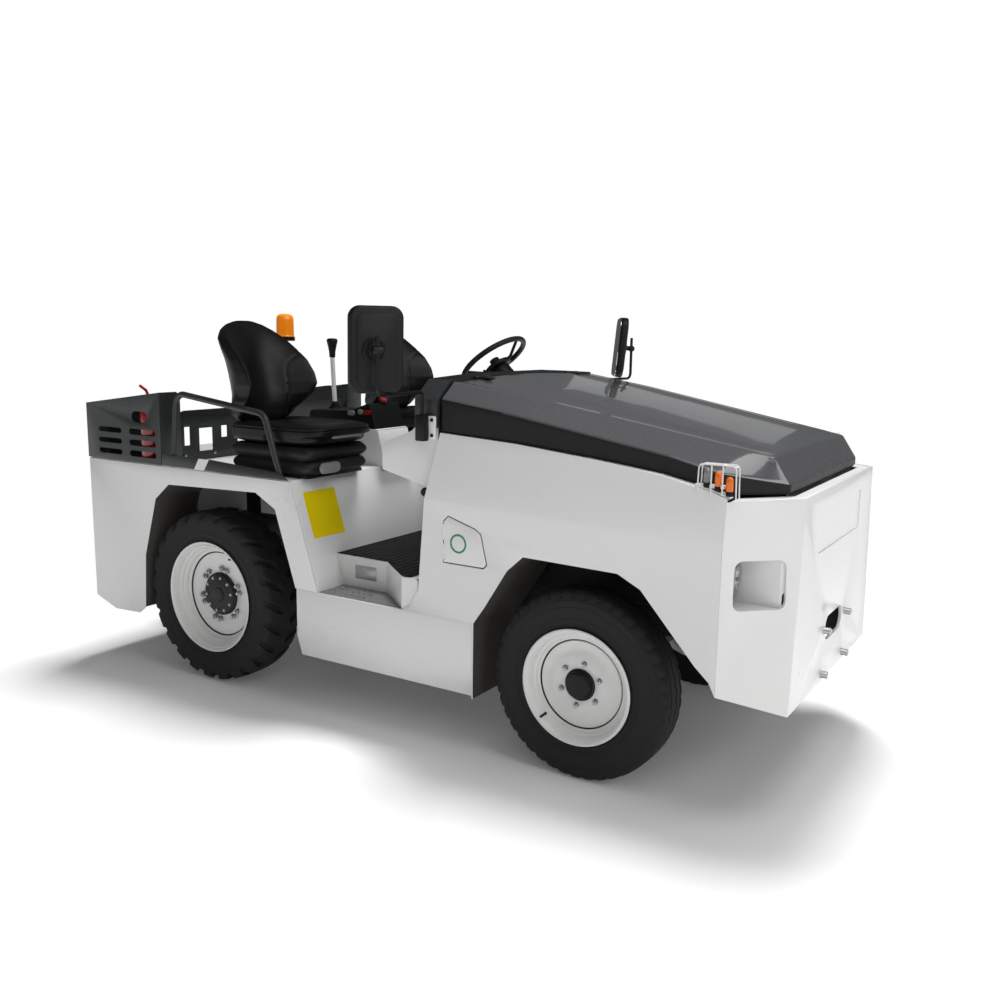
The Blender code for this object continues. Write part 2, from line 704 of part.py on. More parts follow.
def build_bonnet():
    """Tilting bonnet: crowned top, chamfered sides and nose, and an upright skirt."""
    # y, ridge half width, ridge z, crown, lower edge half width, lower edge y, lower edge z
    stations = (
        (-0.455, 0.615, 1.506, 0.018, 0.700, -0.455, 1.441),
        (-0.780, 0.585, 1.458, 0.022, 0.696, -0.780, 1.397),
        (-1.100, 0.552, 1.402, 0.022, 0.692, -1.100, 1.343),
        (-1.420, 0.525, 1.345, 0.018, 0.684, -1.420, 1.287),
        (-1.640, 0.508, 1.306, 0.013, 0.670, -1.600, 1.240),
        (-1.735, 0.498, 1.287, 0.010, 0.492, -1.796, 1.196),
    )
    columns = 8
    bm = bmesh.new()
    rows = []
    for y, ridge, ridge_z, crown, edge, edge_y, edge_z in stations:
        skirt_z = top_z(edge_y) + BONNET_SEAM
        row = [(-edge, edge_y, skirt_z), (-edge, edge_y, edge_z)]
        for index in range(columns + 1):
            share = 2 * index / columns - 1
            row.append((ridge * share, y, ridge_z + crown * (1 - share * share)))
        row += [(edge, edge_y, edge_z), (edge, edge_y, skirt_z)]
        rows.append([bm.verts.new(point) for point in row])
    for rear, front in zip(rows, rows[1:]):
        for index in range(len(rear) - 1):
            bm.faces.new((rear[index], front[index], front[index + 1], rear[index + 1]))
    last = rows[-1]
    edge, edge_y, edge_z = stations[-1][4:]
    skirt_z = top_z(edge_y) + BONNET_SEAM
    bottom = [last[0]]
    lip = [last[1]]
    for index in range(1, columns):
        x = edge * (2 * index / columns - 1)
        lip.append(bm.verts.new((x, edge_y, edge_z)))
        bottom.append(bm.verts.new((x, edge_y, skirt_z)))
    lip.append(last[-2])
    bottom.append(last[-1])
    for index in range(columns):
        upper = (last[index + 2], last[index + 3])
        bm.faces.new((upper[0], lip[index], lip[index + 1], upper[1]))
        bm.faces.new((lip[index], bottom[index], bottom[index + 1], lip[index + 1]))
    bmesh.ops.recalc_face_normals(bm, faces=bm.faces)
    upward = sum(face.normal.z for face in bm.faces)
    if upward < 0:
        bmesh.ops.reverse_faces(bm, faces=bm.faces)
    mesh = bpy.data.meshes.new("bonnet")
    bm.to_mesh(mesh)
    bm.free()
    bonnet = add_object("bonnet", mesh, "bonnet_grey")
    thicken(bonnet, SHEET)
    for sign in (-1, 1):
        middle = sign * BONNET_HINGE_X
        barrel = rod("bonnet_barrel_%d" % sign, (middle - 0.030, BONNET_HINGE_Y, BONNET_HINGE_Z),
                     (middle + 0.030, BONNET_HINGE_Y, BONNET_HINGE_Z), BONNET_BARREL_RADIUS, 12)
        leaf = box("bonnet_leaf_%d" % sign, (middle - 0.028, -0.475, 1.5125),
                   (middle + 0.028, BONNET_HINGE_Y, 1.5175))
        combine(bonnet, [leaf, barrel])
    return hang_on(bonnet, (0, BONNET_HINGE_Y, BONNET_HINGE_Z), "bonnet_axis")


def build_scuttle():
    """Dark hoop behind the bonnet with the firewall that closes the nose."""
    half_line = [(SCUTTLE_HALF, 1.325), (SCUTTLE_HALF, 1.436), (0.618, 1.515), (0.300, 1.530)]
    hoop_line = [(-x, z) for x, z in half_line] + half_line[::-1]
    strip = band(hoop_line, -0.022)
    hoop = plate("scuttle", strip, "XZ", -0.440, 0.110, "grey_paint")
    wall = [(-0.6935, FLOOR_Z + GAP), (0.6935, FLOOR_Z + GAP), (0.6935, 1.330), (0.700, 1.340),
            (0.700, 1.430), (0.612, 1.505), (-0.612, 1.505), (-0.700, 1.430), (-0.700, 1.340),
            (-0.6935, 1.330)]
    firewall = plate("firewall", wall, "XZ", -0.436, SHEET)
    pod_line = rounded([(-0.355, 1.215, 0.02), (-0.262, 1.245, 0.02), (-0.255, 1.340, 0.03),
                        (-0.335, 1.500, 0.01), (-0.434, 1.500, 0), (-0.434, 1.215, 0)], 2)
    pod = plate("dash_pod", pod_line, "YZ", -0.620, 1.240)
    combine(hoop, [firewall, pod])
    for sign in (-1, 1):
        middle = sign * BONNET_HINGE_X
        for end, (a, b) in enumerate(((-0.055, -0.030 - GAP), (0.030 + GAP, 0.055))):
            label = "scuttle_knuckle_%d_%d" % (sign, end)
            barrel = rod(label, (middle + a, BONNET_HINGE_Y, BONNET_HINGE_Z),
                         (middle + b, BONNET_HINGE_Y, BONNET_HINGE_Z), BONNET_BARREL_RADIUS, 12)
            leaf = box(label + "_leaf", (middle + a + 0.001, BONNET_HINGE_Y, 1.5155),
                       (middle + b - 0.001, -0.420, 1.5215))
            combine(hoop, [leaf, barrel])
    return hoop


def build_tub():
    """One bent sheet across the vehicle: sills, steps, risers and the cab floor."""
    half = [(SILL_LIP_HALF, SILL_BOTTOM_Z), (SILL_BOTTOM_HALF, SILL_BOTTOM_Z),
            (HALF_WIDTH, SILL_BEND_Z), (HALF_WIDTH, STEP_Z), (FLOOR_HALF, STEP_Z),
            (FLOOR_HALF, FLOOR_Z)]
    line = half + [(-x, z) for x, z in reversed(half)]
    y0 = FRONT_ARCH[0][0] + SHEET + GAP
    y1 = REAR_ARCH[0][0] - SHEET - GAP
    tub = plate("cab_tub", band(line, SHEET), "XZ", y0, y1 - y0, "white_paint")
    for side, word in SIDES:
        inner, outer = FLOOR_HALF - 0.003, HALF_WIDTH - PANEL - GAP
        outline = [(side * inner, STEP_WALL_REAR_Y), (side * outer, STEP_WALL_FRONT_Y),
                   (side * outer, FENDER_RETURN_Y), (side * 0.690, FENDER_RETURN_Y),
                   (side * 0.690, -0.4400), (side * inner, -0.4400)]
        top = plate("step_top_" + word, outline, "XY", FLOOR_Z - SHEET - 0.0005, SHEET)
        wall_line = [(side * inner, STEP_WALL_REAR_Y), (side * outer, STEP_WALL_FRONT_Y)]
        wall = plate("step_wall_" + word, band(wall_line, -side * SHEET), "XY", STEP_Z - 0.002,
                     FLOOR_Z - STEP_Z - 0.001)
        combine(tub, [top, wall])
    return tub


def build_seat_box():
    """Bent sheet under the seats: sloped front face and flat deck back to the tail plate."""
    rake = (SEAT_BOX_TOP_Y - STEP_REAR_Y) / (DECK_Z - STEP_Z)
    below = 0.020
    line = [(STEP_REAR_Y - rake * below, STEP_Z - below), (SEAT_BOX_TOP_Y, DECK_Z),
            (REAR_Y - TAIL_PLATE - GAP, DECK_Z)]
    width = 2 * (HALF_WIDTH - PANEL - GAP)
    seat_box = plate("seat_box", band(line, -SHEET), "YZ", -width / 2, width, "white_paint")
    foot = box("seat_box_foot", (-FLOOR_HALF - GAP, 0.0, STEP_Z - 0.05),
               (FLOOR_HALF + GAP, 0.5, FLOOR_Z + GAP))
    toe = box("seat_box_toe", (-HALF_WIDTH - 0.1, 0.0, STEP_Z - 0.1),
              (HALF_WIDTH + 0.1, 0.5, STEP_Z + GAP))
    return cut(seat_box, [foot, toe])


def build_rear_fender(side, word):
    """Rear side panel with its arch liner."""
    name = "rear_fender_" + word
    outline = [(SEAT_BOX_TOP_Y, DECK_Z - 0.005), (0.183, STEP_Z + GAP), *REAR_ARCH,
               (1.398, 0.269), (1.582, 0.261), (REAR_Y, 0.313), (REAR_Y, DECK_Z - 0.005)]
    panel = side_plate(name, outline, HALF_WIDTH, PANEL, side, "white_paint")
    xs = sorted((side * (HALF_WIDTH - 0.001), side * 0.470))
    liner = plate(name + "_liner", band(REAR_ARCH, SHEET), "YZ", xs[0], xs[1] - xs[0])
    return combine(panel, [liner])


def build_deck_trim(side, word):
    """Dark upstand along the edge of the deck, from the seat box to the tail box."""
    line = [(0.345, 1.050), (0.395, 1.075), (0.860, TRIM_TOP_Z), (1.176, TRIM_TOP_Z)]
    outline = [(0.345, DECK_Z + GAP), *line[1:], (1.176, DECK_Z + GAP)]
    return side_plate("deck_trim_" + word, outline, HALF_WIDTH, SHEET, side, "grey_paint")


def build_tail_box(side, word):
    """Open-topped bin at the tail corner, its outer wall slotted."""
    name = "tail_box_" + word
    width, wall = 0.128, 0.005
    front, rear = 1.180, REAR_Y + 0.006
    outer, inner = HALF_WIDTH, HALF_WIDTH - width
    section = rounded([(side * outer, DECK_Z + GAP, 0), (side * outer, 1.420, 0.0),
                       (side * inner, 1.395, 0.045), (side * inner, DECK_Z + GAP, 0)], 4)
    body = plate(name, section, "XZ", front, rear - front, "grey_paint")
    xs = sorted((side * (outer - wall), side * (inner + wall)))
    cavity = box(name + "_cavity", (xs[0], front + wall, DECK_Z + 0.008), (xs[1], rear - wall, 1.6))
    slope = [(front - 0.05, TAIL_BOX_FRONT_Z + 0.0066), (rear + 0.05, TAIL_BOX_REAR_Z - 0.0066),
             (rear + 0.05, 1.7), (front - 0.05, 1.7)]
    xs = sorted((side * (outer + 0.05), side * (inner - 0.05)))
    lid = plate(name + "_slope", slope, "YZ", xs[0], xs[1] - xs[0])
    cutters = [cavity, lid]
    # y from, y to, z centre, height
    slots = ((1.215, 1.412, 1.088, 0.030), (1.215, 1.412, 1.142, 0.030),
             (1.215, 1.412, 1.196, 0.030), (1.268, 1.388, 1.270, 0.056),
             (1.470, 1.650, 1.088, 0.026), (1.470, 1.650, 1.142, 0.026),
             (1.470, 1.650, 1.196, 0.026))
    for index, (y0, y1, z, height) in enumerate(slots):
        half = height / 2
        outline = rounded([(y0, z - half, half * 0.9), (y1, z - half, half * 0.9),
                           (y1, z + half, half * 0.9), (y0, z + half, half * 0.9)], 2)
        xs = sorted((side * (outer + 0.02), side * (outer - 0.02)))
        cutters.append(plate("%s_slot_%d" % (name, index), outline, "YZ", xs[0], xs[1] - xs[0]))
    return cut(body, cutters)


def build_rear_guard():
    """Cross plate behind the seats with lightening windows."""
    half, y = 0.618, 1.195
    outline = rounded([(-half, DECK_Z + GAP, 0), (half, DECK_Z + GAP, 0), (half, 1.300, 0.03),
                       (-half, 1.300, 0.03)], 3)
    holes = []
    for middle, width, low, high in ((-0.572, 0.036, 1.125, 1.218), (-0.452, 0.088, 1.090, 1.206),
                                     (-0.330, 0.040, 1.150, 1.210), (-0.150, 0.180, 1.110, 1.210),
                                     (0.150, 0.180, 1.110, 1.210), (0.330, 0.040, 1.150, 1.210),
                                     (0.452, 0.088, 1.090, 1.206), (0.572, 0.036, 1.125, 1.218)):
        a, b = middle - width / 2, middle + width / 2
        holes.append([(a, low), (b, low), (b, high), (a, high)])
    return plate("rear_guard", outline, "XZ", y, SHEET, "black_paint", holes)


def build_tail_plate():
    """Flat rear plate of the body."""
    half = HALF_WIDTH - PANEL - GAP
    outline = rounded([(-half, 0.330, 0.02), (half, 0.330, 0.02), (half, DECK_Z, 0),
                       (-half, DECK_Z, 0)], 3)
    return plate("tail_plate", outline, "XZ", REAR_Y - TAIL_PLATE, TAIL_PLATE, "white_paint")


def build_hitch():
    """Stepped tow jaw at the tail with three plates and two pin gaps."""
    y0 = REAR_Y + GAP
    body = box("tow_hitch", (-0.110, y0, 0.330), (0.110, y0 + 0.022, 0.620), "black_paint")
    plates = []
    half, tip = HITCH_SHELF_HALF, HITCH_TIP_Y
    for index, z in enumerate(HITCH_SHELF_Z):
        outline = rounded([(-half, y0 + 0.010, 0), (half, y0 + 0.010, 0), (half, tip, 0.035),
                           (-half, tip, 0.035)], 4)
        plates.append(plate("hitch_shelf_%d" % index, outline, "XY", z, HITCH_SHELF))
    combine(body, plates)
    bore = rod("hitch_bore", (0, HITCH_PIN_Y, 0.300), (0, HITCH_PIN_Y, 0.600),
               HITCH_PIN_RADIUS + 0.0015, 16)
    return cut(body, [bore])


def build_hitch_pin():
    """Drop pin through the jaw with its ring head."""
    y, seat = HITCH_PIN_Y, HITCH_SHELF_Z[-1] + HITCH_SHELF + GAP
    pin = rod("hitch_pin", (0, y, 0.336), (0, y, 0.560), HITCH_PIN_RADIUS, 16, "bare_steel")
    head = rod("hitch_pin_head", (0, y, seat), (0, y, 0.546), 0.026, 16)
    combine(pin, [head])
    return hang_on(pin, (0, y, seat), "hitch_pin_axis")


def build_frame():
    """Ladder frame with cross members, outriggers and deck posts."""
    inner = RAIL_HALF - RAIL_WIDTH
    y0, y1 = FRONT_Y + NOSE_PLATE + GAP, REAR_Y - TAIL_PLATE - GAP
    front_member = -1.660
    outline = [(-RAIL_HALF, y0), (-inner, y0), (-inner, front_member), (inner, front_member),
               (inner, y0), (RAIL_HALF, y0), (RAIL_HALF, y1), (-RAIL_HALF, y1)]
    holes = [[(-inner, a), (inner, a), (inner, b), (-inner, b)]
             for a, b in ((-1.580, -0.600), (-0.500, 0.300), (0.380, 1.640))]
    frame = plate("chassis_frame", outline, "XY", RAIL_BOTTOM_Z, RAIL_TOP_Z - RAIL_BOTTOM_Z,
                  "black_paint", holes)
    top = FLOOR_Z - SHEET - GAP
    extras = [box("outrigger_0", (-0.545, -0.560, 0.575), (0.545, -0.510, top)),
              box("outrigger_1", (-0.545, 0.100, 0.575), (0.545, 0.150, top))]
    for side in (-1, 1):
        extras.append(side_box("deck_post_%d" % side, side, inner + 0.010, RAIL_HALF - 0.010,
                               (1.560, 1.620), (RAIL_TOP_Z - 0.010, DECK_Z - SHEET - GAP)))
    return combine(frame, extras)


def build_battery():
    """Traction battery under the bonnet."""
    rear_y = FRONT_ARCH[0][0] - 0.010
    pack = box("battery_pack", (-0.310, -1.560, RAIL_TOP_Z + GAP), (0.310, rear_y, 1.080),
               "black_paint")
    return soften(pack, 0.008, 1)


def build_front_axle():
    """Front axle beam with spring seats and an eye at each end."""
    eye_low, eye_high = 0.330, 0.420
    beam = box("front_axle", (-KINGPIN_HALF, FRONT_AXLE_Y - 0.040, 0.345),
               (KINGPIN_HALF, FRONT_AXLE_Y + 0.040, 0.405), "black_paint")
    extras, bores = [], []
    for side in (-1, 1):
        x = side * KINGPIN_HALF
        extras.append(rod("axle_eye_%d" % side, (x, FRONT_AXLE_Y, eye_low),
                          (x, FRONT_AXLE_Y, eye_high), 0.042, 20))
        extras.append(side_box("spring_seat_%d" % side, side, 0.205, 0.275,
                               (FRONT_AXLE_Y - 0.060, FRONT_AXLE_Y + 0.060),
                               (0.400, RAIL_BOTTOM_Z - GAP)))
        bores.append(rod("axle_bore_%d" % side, (x, FRONT_AXLE_Y, 0.2), (x, FRONT_AXLE_Y, 0.6),
                         KINGPIN_RADIUS + 0.0005, 16))
    combine(beam, extras)
    return cut(beam, bores)


def build_knuckle(side, word):
    """Steering knuckle: fork round the axle eye, kingpin, spindle and steering arm."""
    x = side * KINGPIN_HALF
    name = "steering_knuckle_" + word
    knuckle = side_box(name, side, KINGPIN_HALF + 0.046, KINGPIN_HALF + 0.062,
                       (FRONT_AXLE_Y - 0.030, FRONT_AXLE_Y + 0.030), (0.295, 0.455),
                       "bare_steel")
    extras = []
    for label, z0, z1 in (("low", 0.300, 0.330 - GAP), ("high", 0.420 + GAP, 0.450)):
        extras.append(side_box("%s_fork_%s" % (name, label), side, KINGPIN_HALF - 0.020,
                               KINGPIN_HALF + 0.050, (FRONT_AXLE_Y - 0.028, FRONT_AXLE_Y + 0.028),
                               (z0, z1)))
    extras.append(rod(name + "_pin", (x, FRONT_AXLE_Y, 0.310), (x, FRONT_AXLE_Y, 0.440),
                      KINGPIN_RADIUS, 16))
    extras.append(rod(name + "_spindle", (side * (KINGPIN_HALF + 0.055), FRONT_AXLE_Y, 0.375),
                      (side * 0.674, FRONT_AXLE_Y, 0.375), SPINDLE_RADIUS, 20))
    extras.append(side_box(name + "_arm", side, KINGPIN_HALF - 0.016, KINGPIN_HALF + 0.010,
                           (FRONT_AXLE_Y + 0.020, FRONT_AXLE_Y + 0.150), (0.306, 0.324)))
    combine(knuckle, extras)
    return hang_on(knuckle, (x, FRONT_AXLE_Y, 0.375), "steer_axis_" + word)


def build_rear_axle():
    """Rear drive axle: banjo housing, brake drums, motor and spring seats."""
    z = REAR_TYRE_RADIUS
    half = [(0.0, 0.560), (REAR_STUB_RADIUS, 0.560), (REAR_STUB_RADIUS, 0.495), (0.135, 0.495),
            (0.135, 0.430), (0.062, 0.420), (0.062, 0.190), (0.120, 0.130), (0.148, 0.060)]
    profile = half + [(r, -t) for r, t in reversed(half)]
    axle = turned("rear_axle", profile, (0, REAR_AXLE_Y, z), (1, 0, 0), 20, "black_paint")
    motor = rod("motor", (0, REAR_AXLE_Y - 0.080, z), (0, 0.440, z), 0.120, 24)
    extras = [motor]
    for side in (-1, 1):
        extras.append(side_box("rear_spring_seat_%d" % side, side, 0.205, 0.275,
                               (REAR_AXLE_Y - 0.050, REAR_AXLE_Y + 0.050),
                               (z + 0.030, RAIL_BOTTOM_Z - GAP)))
    return combine(axle, extras)


def wheel_placement(side, half_track, y, radius):
    """World matrix that turns a wheel built along +Z to face outwards."""
    return Matrix.Translation((side * half_track, y, radius)) @ aim((side, 0, 0))


def ring_mesh(name, profiles, matrix, finish_name):
    """Closed ring from one profile (radius, offset) for each station round the wheel."""
    bm = bmesh.new()
    count = len(profiles)
    rings = []
    for index, (angle, profile) in enumerate(profiles):
        rings.append([bm.verts.new(matrix @ Vector((radius * math.cos(angle),
                                                    radius * math.sin(angle), offset)))
                      for radius, offset in profile])
    size = len(rings[0])
    for index in range(count):
        here, following = rings[index], rings[(index + 1) % count]
        for slot in range(size):
            nxt = (slot + 1) % size
            bm.faces.new((here[slot], here[nxt], following[nxt], following[slot]))
    return add_object(name, mesh_from(name, bm), finish_name)


def build_front_tyre(side, word):
    """Ribbed truck tyre."""
    radius, half = FRONT_TYRE_RADIUS, FRONT_TYRE_WIDTH / 2
    steps = 28
    bead = (FRONT_RIM_RADIUS - RIM_FLANGE + GAP) / math.cos(math.pi / steps)
    right = [(bead, 0.0735), (bead + 0.026, half - 0.008), (bead + 0.075, half),
             (radius - 0.030, half - 0.008), (radius, 0.056)]
    profile = right + [(r, -t) for r, t in reversed(right)]
    matrix = wheel_placement(side, FRONT_TRACK_HALF, FRONT_AXLE_Y, radius)
    profiles = [(2 * math.pi * i / steps, profile) for i in range(steps)]
    tyre = ring_mesh("front_tyre_" + word, profiles, matrix, "tyre_rubber")
    return hang_on(tyre, (side * FRONT_TRACK_HALF, FRONT_AXLE_Y, radius), "front_wheel_axis_" + word)


def build_rear_tyre(side, word):
    """Deep-lugged tyre: shoulder blocks alternate from side to side of a centre rib."""
    radius, half = REAR_TYRE_RADIUS, REAR_TYRE_WIDTH / 2
    widest = 0.42 * 2 * math.pi / LUG_COUNT
    bead = (REAR_RIM_RADIUS - RIM_FLANGE + GAP) / math.cos(widest / 2)

    def flank(lug):
        drop = 0.0 if lug else LUG_DEPTH
        return [(bead, 0.088), (bead + 0.030, half - 0.006), (radius - 0.034, half - drop * 0.4),
                (radius - 0.004 - drop, half - 0.014), (radius - drop, 0.060)]

    profiles = []
    for index in range(LUG_COUNT):
        start = 2 * math.pi * index / LUG_COUNT
        pitch = 2 * math.pi / LUG_COUNT
        for share, front, back in ((0.00, True, False), (0.42, True, False),
                                   (0.50, False, True), (0.92, False, True)):
            outer, inner = flank(front), flank(back)
            profile = outer + [(radius, 0.020), (radius, -0.020)]
            profile += [(r, -t) for r, t in reversed(inner)]
            profiles.append((start + share * pitch, profile))
    matrix = wheel_placement(side, REAR_TRACK_HALF, REAR_AXLE_Y, radius)
    tyre = ring_mesh("rear_tyre_" + word, profiles, matrix, "tyre_rubber")
    return hang_on(tyre, (side * REAR_TRACK_HALF, REAR_AXLE_Y, radius), "rear_wheel_axis_" + word)


def build_rim(kind, side, word):
    """Pressed steel wheel with its hub, bored for the spindle or axle stub."""
    front = kind == "front"
    lip = FRONT_RIM_RADIUS if front else REAR_RIM_RADIUS
    edge = 0.090 if front else 0.105
    seat = lip - RIM_FLANGE
    steps = 20
    shaft = SPINDLE_RADIUS if front else REAR_STUB_RADIUS
    bore = (shaft + 0.0005) / math.cos(math.pi / steps)
    disc = 0.030 if front else 0.018
    hub = 0.066 if front else 0.125
    hub_out = 0.074 if front else 0.052
    hub_in = -0.055 if front else -0.115
    bore_end = 0.050 if front else -0.040
    barrel_out = [(lip, edge), (seat, edge - 0.016), (seat - 0.024, 0.030), (seat - 0.024, -0.030),
                  (seat, -edge + 0.016), (lip, -edge)]
    barrel_in = [(seat - 0.008, -edge + 0.004), (seat - 0.032, -0.036),
                 (seat - 0.032, disc - 0.012)]
    centre = [(hub + 0.010, disc + 0.004), (hub * 0.8, hub_in), (bore, hub_in), (bore, bore_end),
              (0.0, bore_end)]
    face = [(0.0, hub_out), (hub * 0.85, hub_out), (hub, disc + 0.020),
            (seat - 0.046, disc + 0.004), (seat - 0.032, disc + 0.010), (seat - 0.010, 0.060),
            (lip - 0.005, edge + 0.003)]
    profile = face + barrel_out + barrel_in + centre
    half_track = FRONT_TRACK_HALF if front else REAR_TRACK_HALF
    y = FRONT_AXLE_Y if front else REAR_AXLE_Y
    radius = FRONT_TYRE_RADIUS if front else REAR_TYRE_RADIUS
    spot = (side * half_track, y, radius)
    rim = turned("%s_rim_%s" % (kind, word), profile, spot, (side, 0, 0), steps, "white_paint")
    return hang_on(rim, spot, "%s_wheel_axis_%s" % (kind, word))


# Bellows base: share of its height, half width, half length
SEAT_BASE_ROWS = ((0.00, 0.190, 0.225), (0.25, 0.210, 0.250), (0.50, 0.192, 0.230),
                  (0.75, 0.212, 0.260), (1.00, 0.205, 0.250))
# Cushion: share of its height, half width, front y, rear y
CUSHION_ROWS = ((0.00, 0.200, 0.250, 0.790), (0.35, 0.218, 0.215, 0.805),
                (0.80, 0.218, 0.215, 0.800), (1.00, 0.190, 0.250, 0.785))
# Back: z, y centre, half width, depth, how far its wings reach forward
SEAT_BACK_ROWS = ((CUSHION_TOP_Z + GAP, 0.770, 0.150, 0.090, 0.005),
                  (1.360, 0.790, 0.205, 0.120, 0.075),
                  (1.450, 0.815, SEAT_WIDTH / 2, 0.130, 0.150),
                  (1.560, 0.840, SEAT_WIDTH / 2 - 0.005, 0.120, 0.120),
                  (1.660, 0.860, 0.200, 0.100, 0.055),
                  (1.720, 0.868, 0.150, 0.070, 0.015),
                  (SEAT_BACK_TOP_Z, 0.870, 0.090, 0.040, 0.000))


def seat_ring(centre, half, depth, z, wing):
    """Section of a seat back: a slab whose ends curl forward by the wing."""
    x, y = centre
    front = [(x + half * share, y - depth / 2 - wing * abs(share) ** 2, z)
             for share in (-1.0, -0.55, 0.0, 0.55, 1.0)]
    back = [(x + half * share, y + depth / 2 - wing * abs(share) ** 2 * 0.8, z)
            for share in (1.0, 0.55, 0.0, -0.55, -1.0)]
    return front + back


def build_seat(side, word):
    """Suspension seat: bellows base, cushion and winged back."""
    x = side * SEAT_X
    base_low, base_high = DECK_Z + GAP, SEAT_BASE_TOP_Z
    rings = []
    for share, half_x, half_y in SEAT_BASE_ROWS:
        z = base_low + (base_high - base_low) * share
        rings.append([(x + a, SEAT_BASE_Y + b, z) for a, b in
                      rounded([(-half_x, -half_y, 0.04), (half_x, -half_y, 0.04),
                               (half_x, half_y, 0.04), (-half_x, half_y, 0.04)], 2)])
    loft("seat_base_" + word, rings, "black_plastic")
    cushion_low = SEAT_BASE_TOP_Z + GAP
    rings = []
    for share, half_x, front, rear in CUSHION_ROWS:
        z = cushion_low + (CUSHION_TOP_Z - cushion_low) * share
        rings.append([(x + a, b, z) for a, b in
                      rounded([(-half_x, front, 0.07), (half_x, front, 0.07),
                               (half_x, rear, 0.05), (-half_x, rear, 0.05)], 3)])
    loft("seat_cushion_" + word, rings, "black_vinyl")
    rings = [seat_ring((x, y), half_x, depth, z, wing)
             for z, y, half_x, depth, wing in SEAT_BACK_ROWS]
    loft("seat_back_" + word, rings, "black_vinyl")


def build_console():
    """White tunnel, dark console with its lever between the seats."""
    top = TUNNEL_TOP_Z
    tunnel_line = rounded([(0.300, DECK_Z + GAP, 0), (0.760, DECK_Z + GAP, 0), (0.760, top, 0),
                           (0.345, top, 0.015)], 2)
    plate("console_tunnel", tunnel_line, "YZ", -TUNNEL_HALF, 2 * TUNNEL_HALF, "white_paint")
    console_line = rounded([(0.360, top + GAP, 0), (0.800, top + GAP, 0), (0.800, 1.300, 0.02),
                            (0.520, 1.310, 0.01), (0.400, 1.355, 0.02)], 3)
    half = TUNNEL_HALF - 0.005
    console = plate("console", console_line, "YZ", -half, 2 * half, "black_plastic")
    soften(console, 0.006, 1, 60)
    foot, head = LEVER_FOOT, LEVER_HEAD
    lever = rod("hand_lever", foot, (head[0], head[1], head[2] + 0.010), LEVER_RADIUS, 12,
                "white_paint")
    knob = turned("lever_knob", LEVER_KNOB, head, (0, 0, 1), 16)
    combine(lever, [knob])


def build_grab_rail(side, word):
    """Bent tube beside the seat, welded to the deck trim."""
    x = side * RAIL_X
    radius = 0.0150
    # y at the deck, y at the bend, height of the bend, bend radius
    legs = ((1.116, 1.078, 1.400, 0.055), (0.405, 0.500, 1.330, 0.060))
    points = []
    for foot_y, bend_y, bend_z, bend_radius in legs:
        tilt = math.atan2(abs(bend_y - foot_y), bend_z - DECK_Z)
        foot = (x, foot_y, DECK_Z + GAP + radius * math.sin(tilt), 0)
        pair = [foot, (x, bend_y, bend_z, bend_radius)]
        points += pair if not points else reversed(pair)
    return tube("grab_rail_" + word, points, radius, "grey_paint", 3)


def build_beacon():
    """Amber beacon on a pole behind the seats."""
    pole = rod("beacon", (0, 1.070, DECK_Z + 0.004), (0, 1.070, 1.655), 0.012, 12, "amber_lens")
    lamp = turned("beacon_lamp", [(0.0, 0.0), (0.052, 0.0), (0.052, 0.020), (0.048, 0.024),
                                  (0.046, 0.110), (0.036, 0.132), (0.0, 0.138)],
                  (0, 1.070, 1.650), (0, 0, 1), 20)
    foot = rod("beacon_foot", (0, 1.070, DECK_Z + GAP), (0, 1.070, DECK_Z + 0.012), 0.035, 12)
    return combine(pole, [lamp, foot])


def build_mirror(side, word):
    """Door mirror: clamp tube on the scuttle, bent arm and a head turned to the driver."""
    name = "mirror_" + word
    plate_x = SCUTTLE_HALF + GAP
    tube_x = plate_x + 0.030
    block = side_box(name, side, plate_x, plate_x + 0.022, (MIRROR_FOOT_Y - 0.026, MIRROR_FOOT_Y + 0.026),
                     (1.328, 1.424), "black_plastic")
    clamp = rod(name + "_clamp", (side * tube_x, MIRROR_FOOT_Y, 1.320),
                (side * tube_x, MIRROR_FOOT_Y, 1.430), 0.016, 12)
    boss_x, boss_y, boss_z = MIRROR_CENTRE
    arm = tube(name + "_arm", [(side * tube_x, MIRROR_FOOT_Y, 1.340, 0),
                               (side * tube_x, MIRROR_FOOT_Y, 1.462, 0.025),
                               (side * (boss_x - 0.075), boss_y + 0.010, 1.472, 0.040),
                               (side * (boss_x - 0.040), boss_y - 0.020, boss_z, 0)],
               0.008, None, 2)
    half_width, half_height = 0.110, 0.160
    outline = rounded([(-half_width, -half_height, 0.045), (half_width, -half_height, 0.045),
                       (half_width, half_height, 0.045), (-half_width, half_height, 0.045)], 4)
    head = plate(name + "_head", outline, "XZ", -0.022, 0.044)
    turn = Matrix.Rotation(side * math.radians(MIRROR_TURN_DEG), 4, "Z")
    head.data.transform(Matrix.Translation((side * boss_x, boss_y, boss_z)) @ turn)
    return combine(block, [clamp, arm, head])


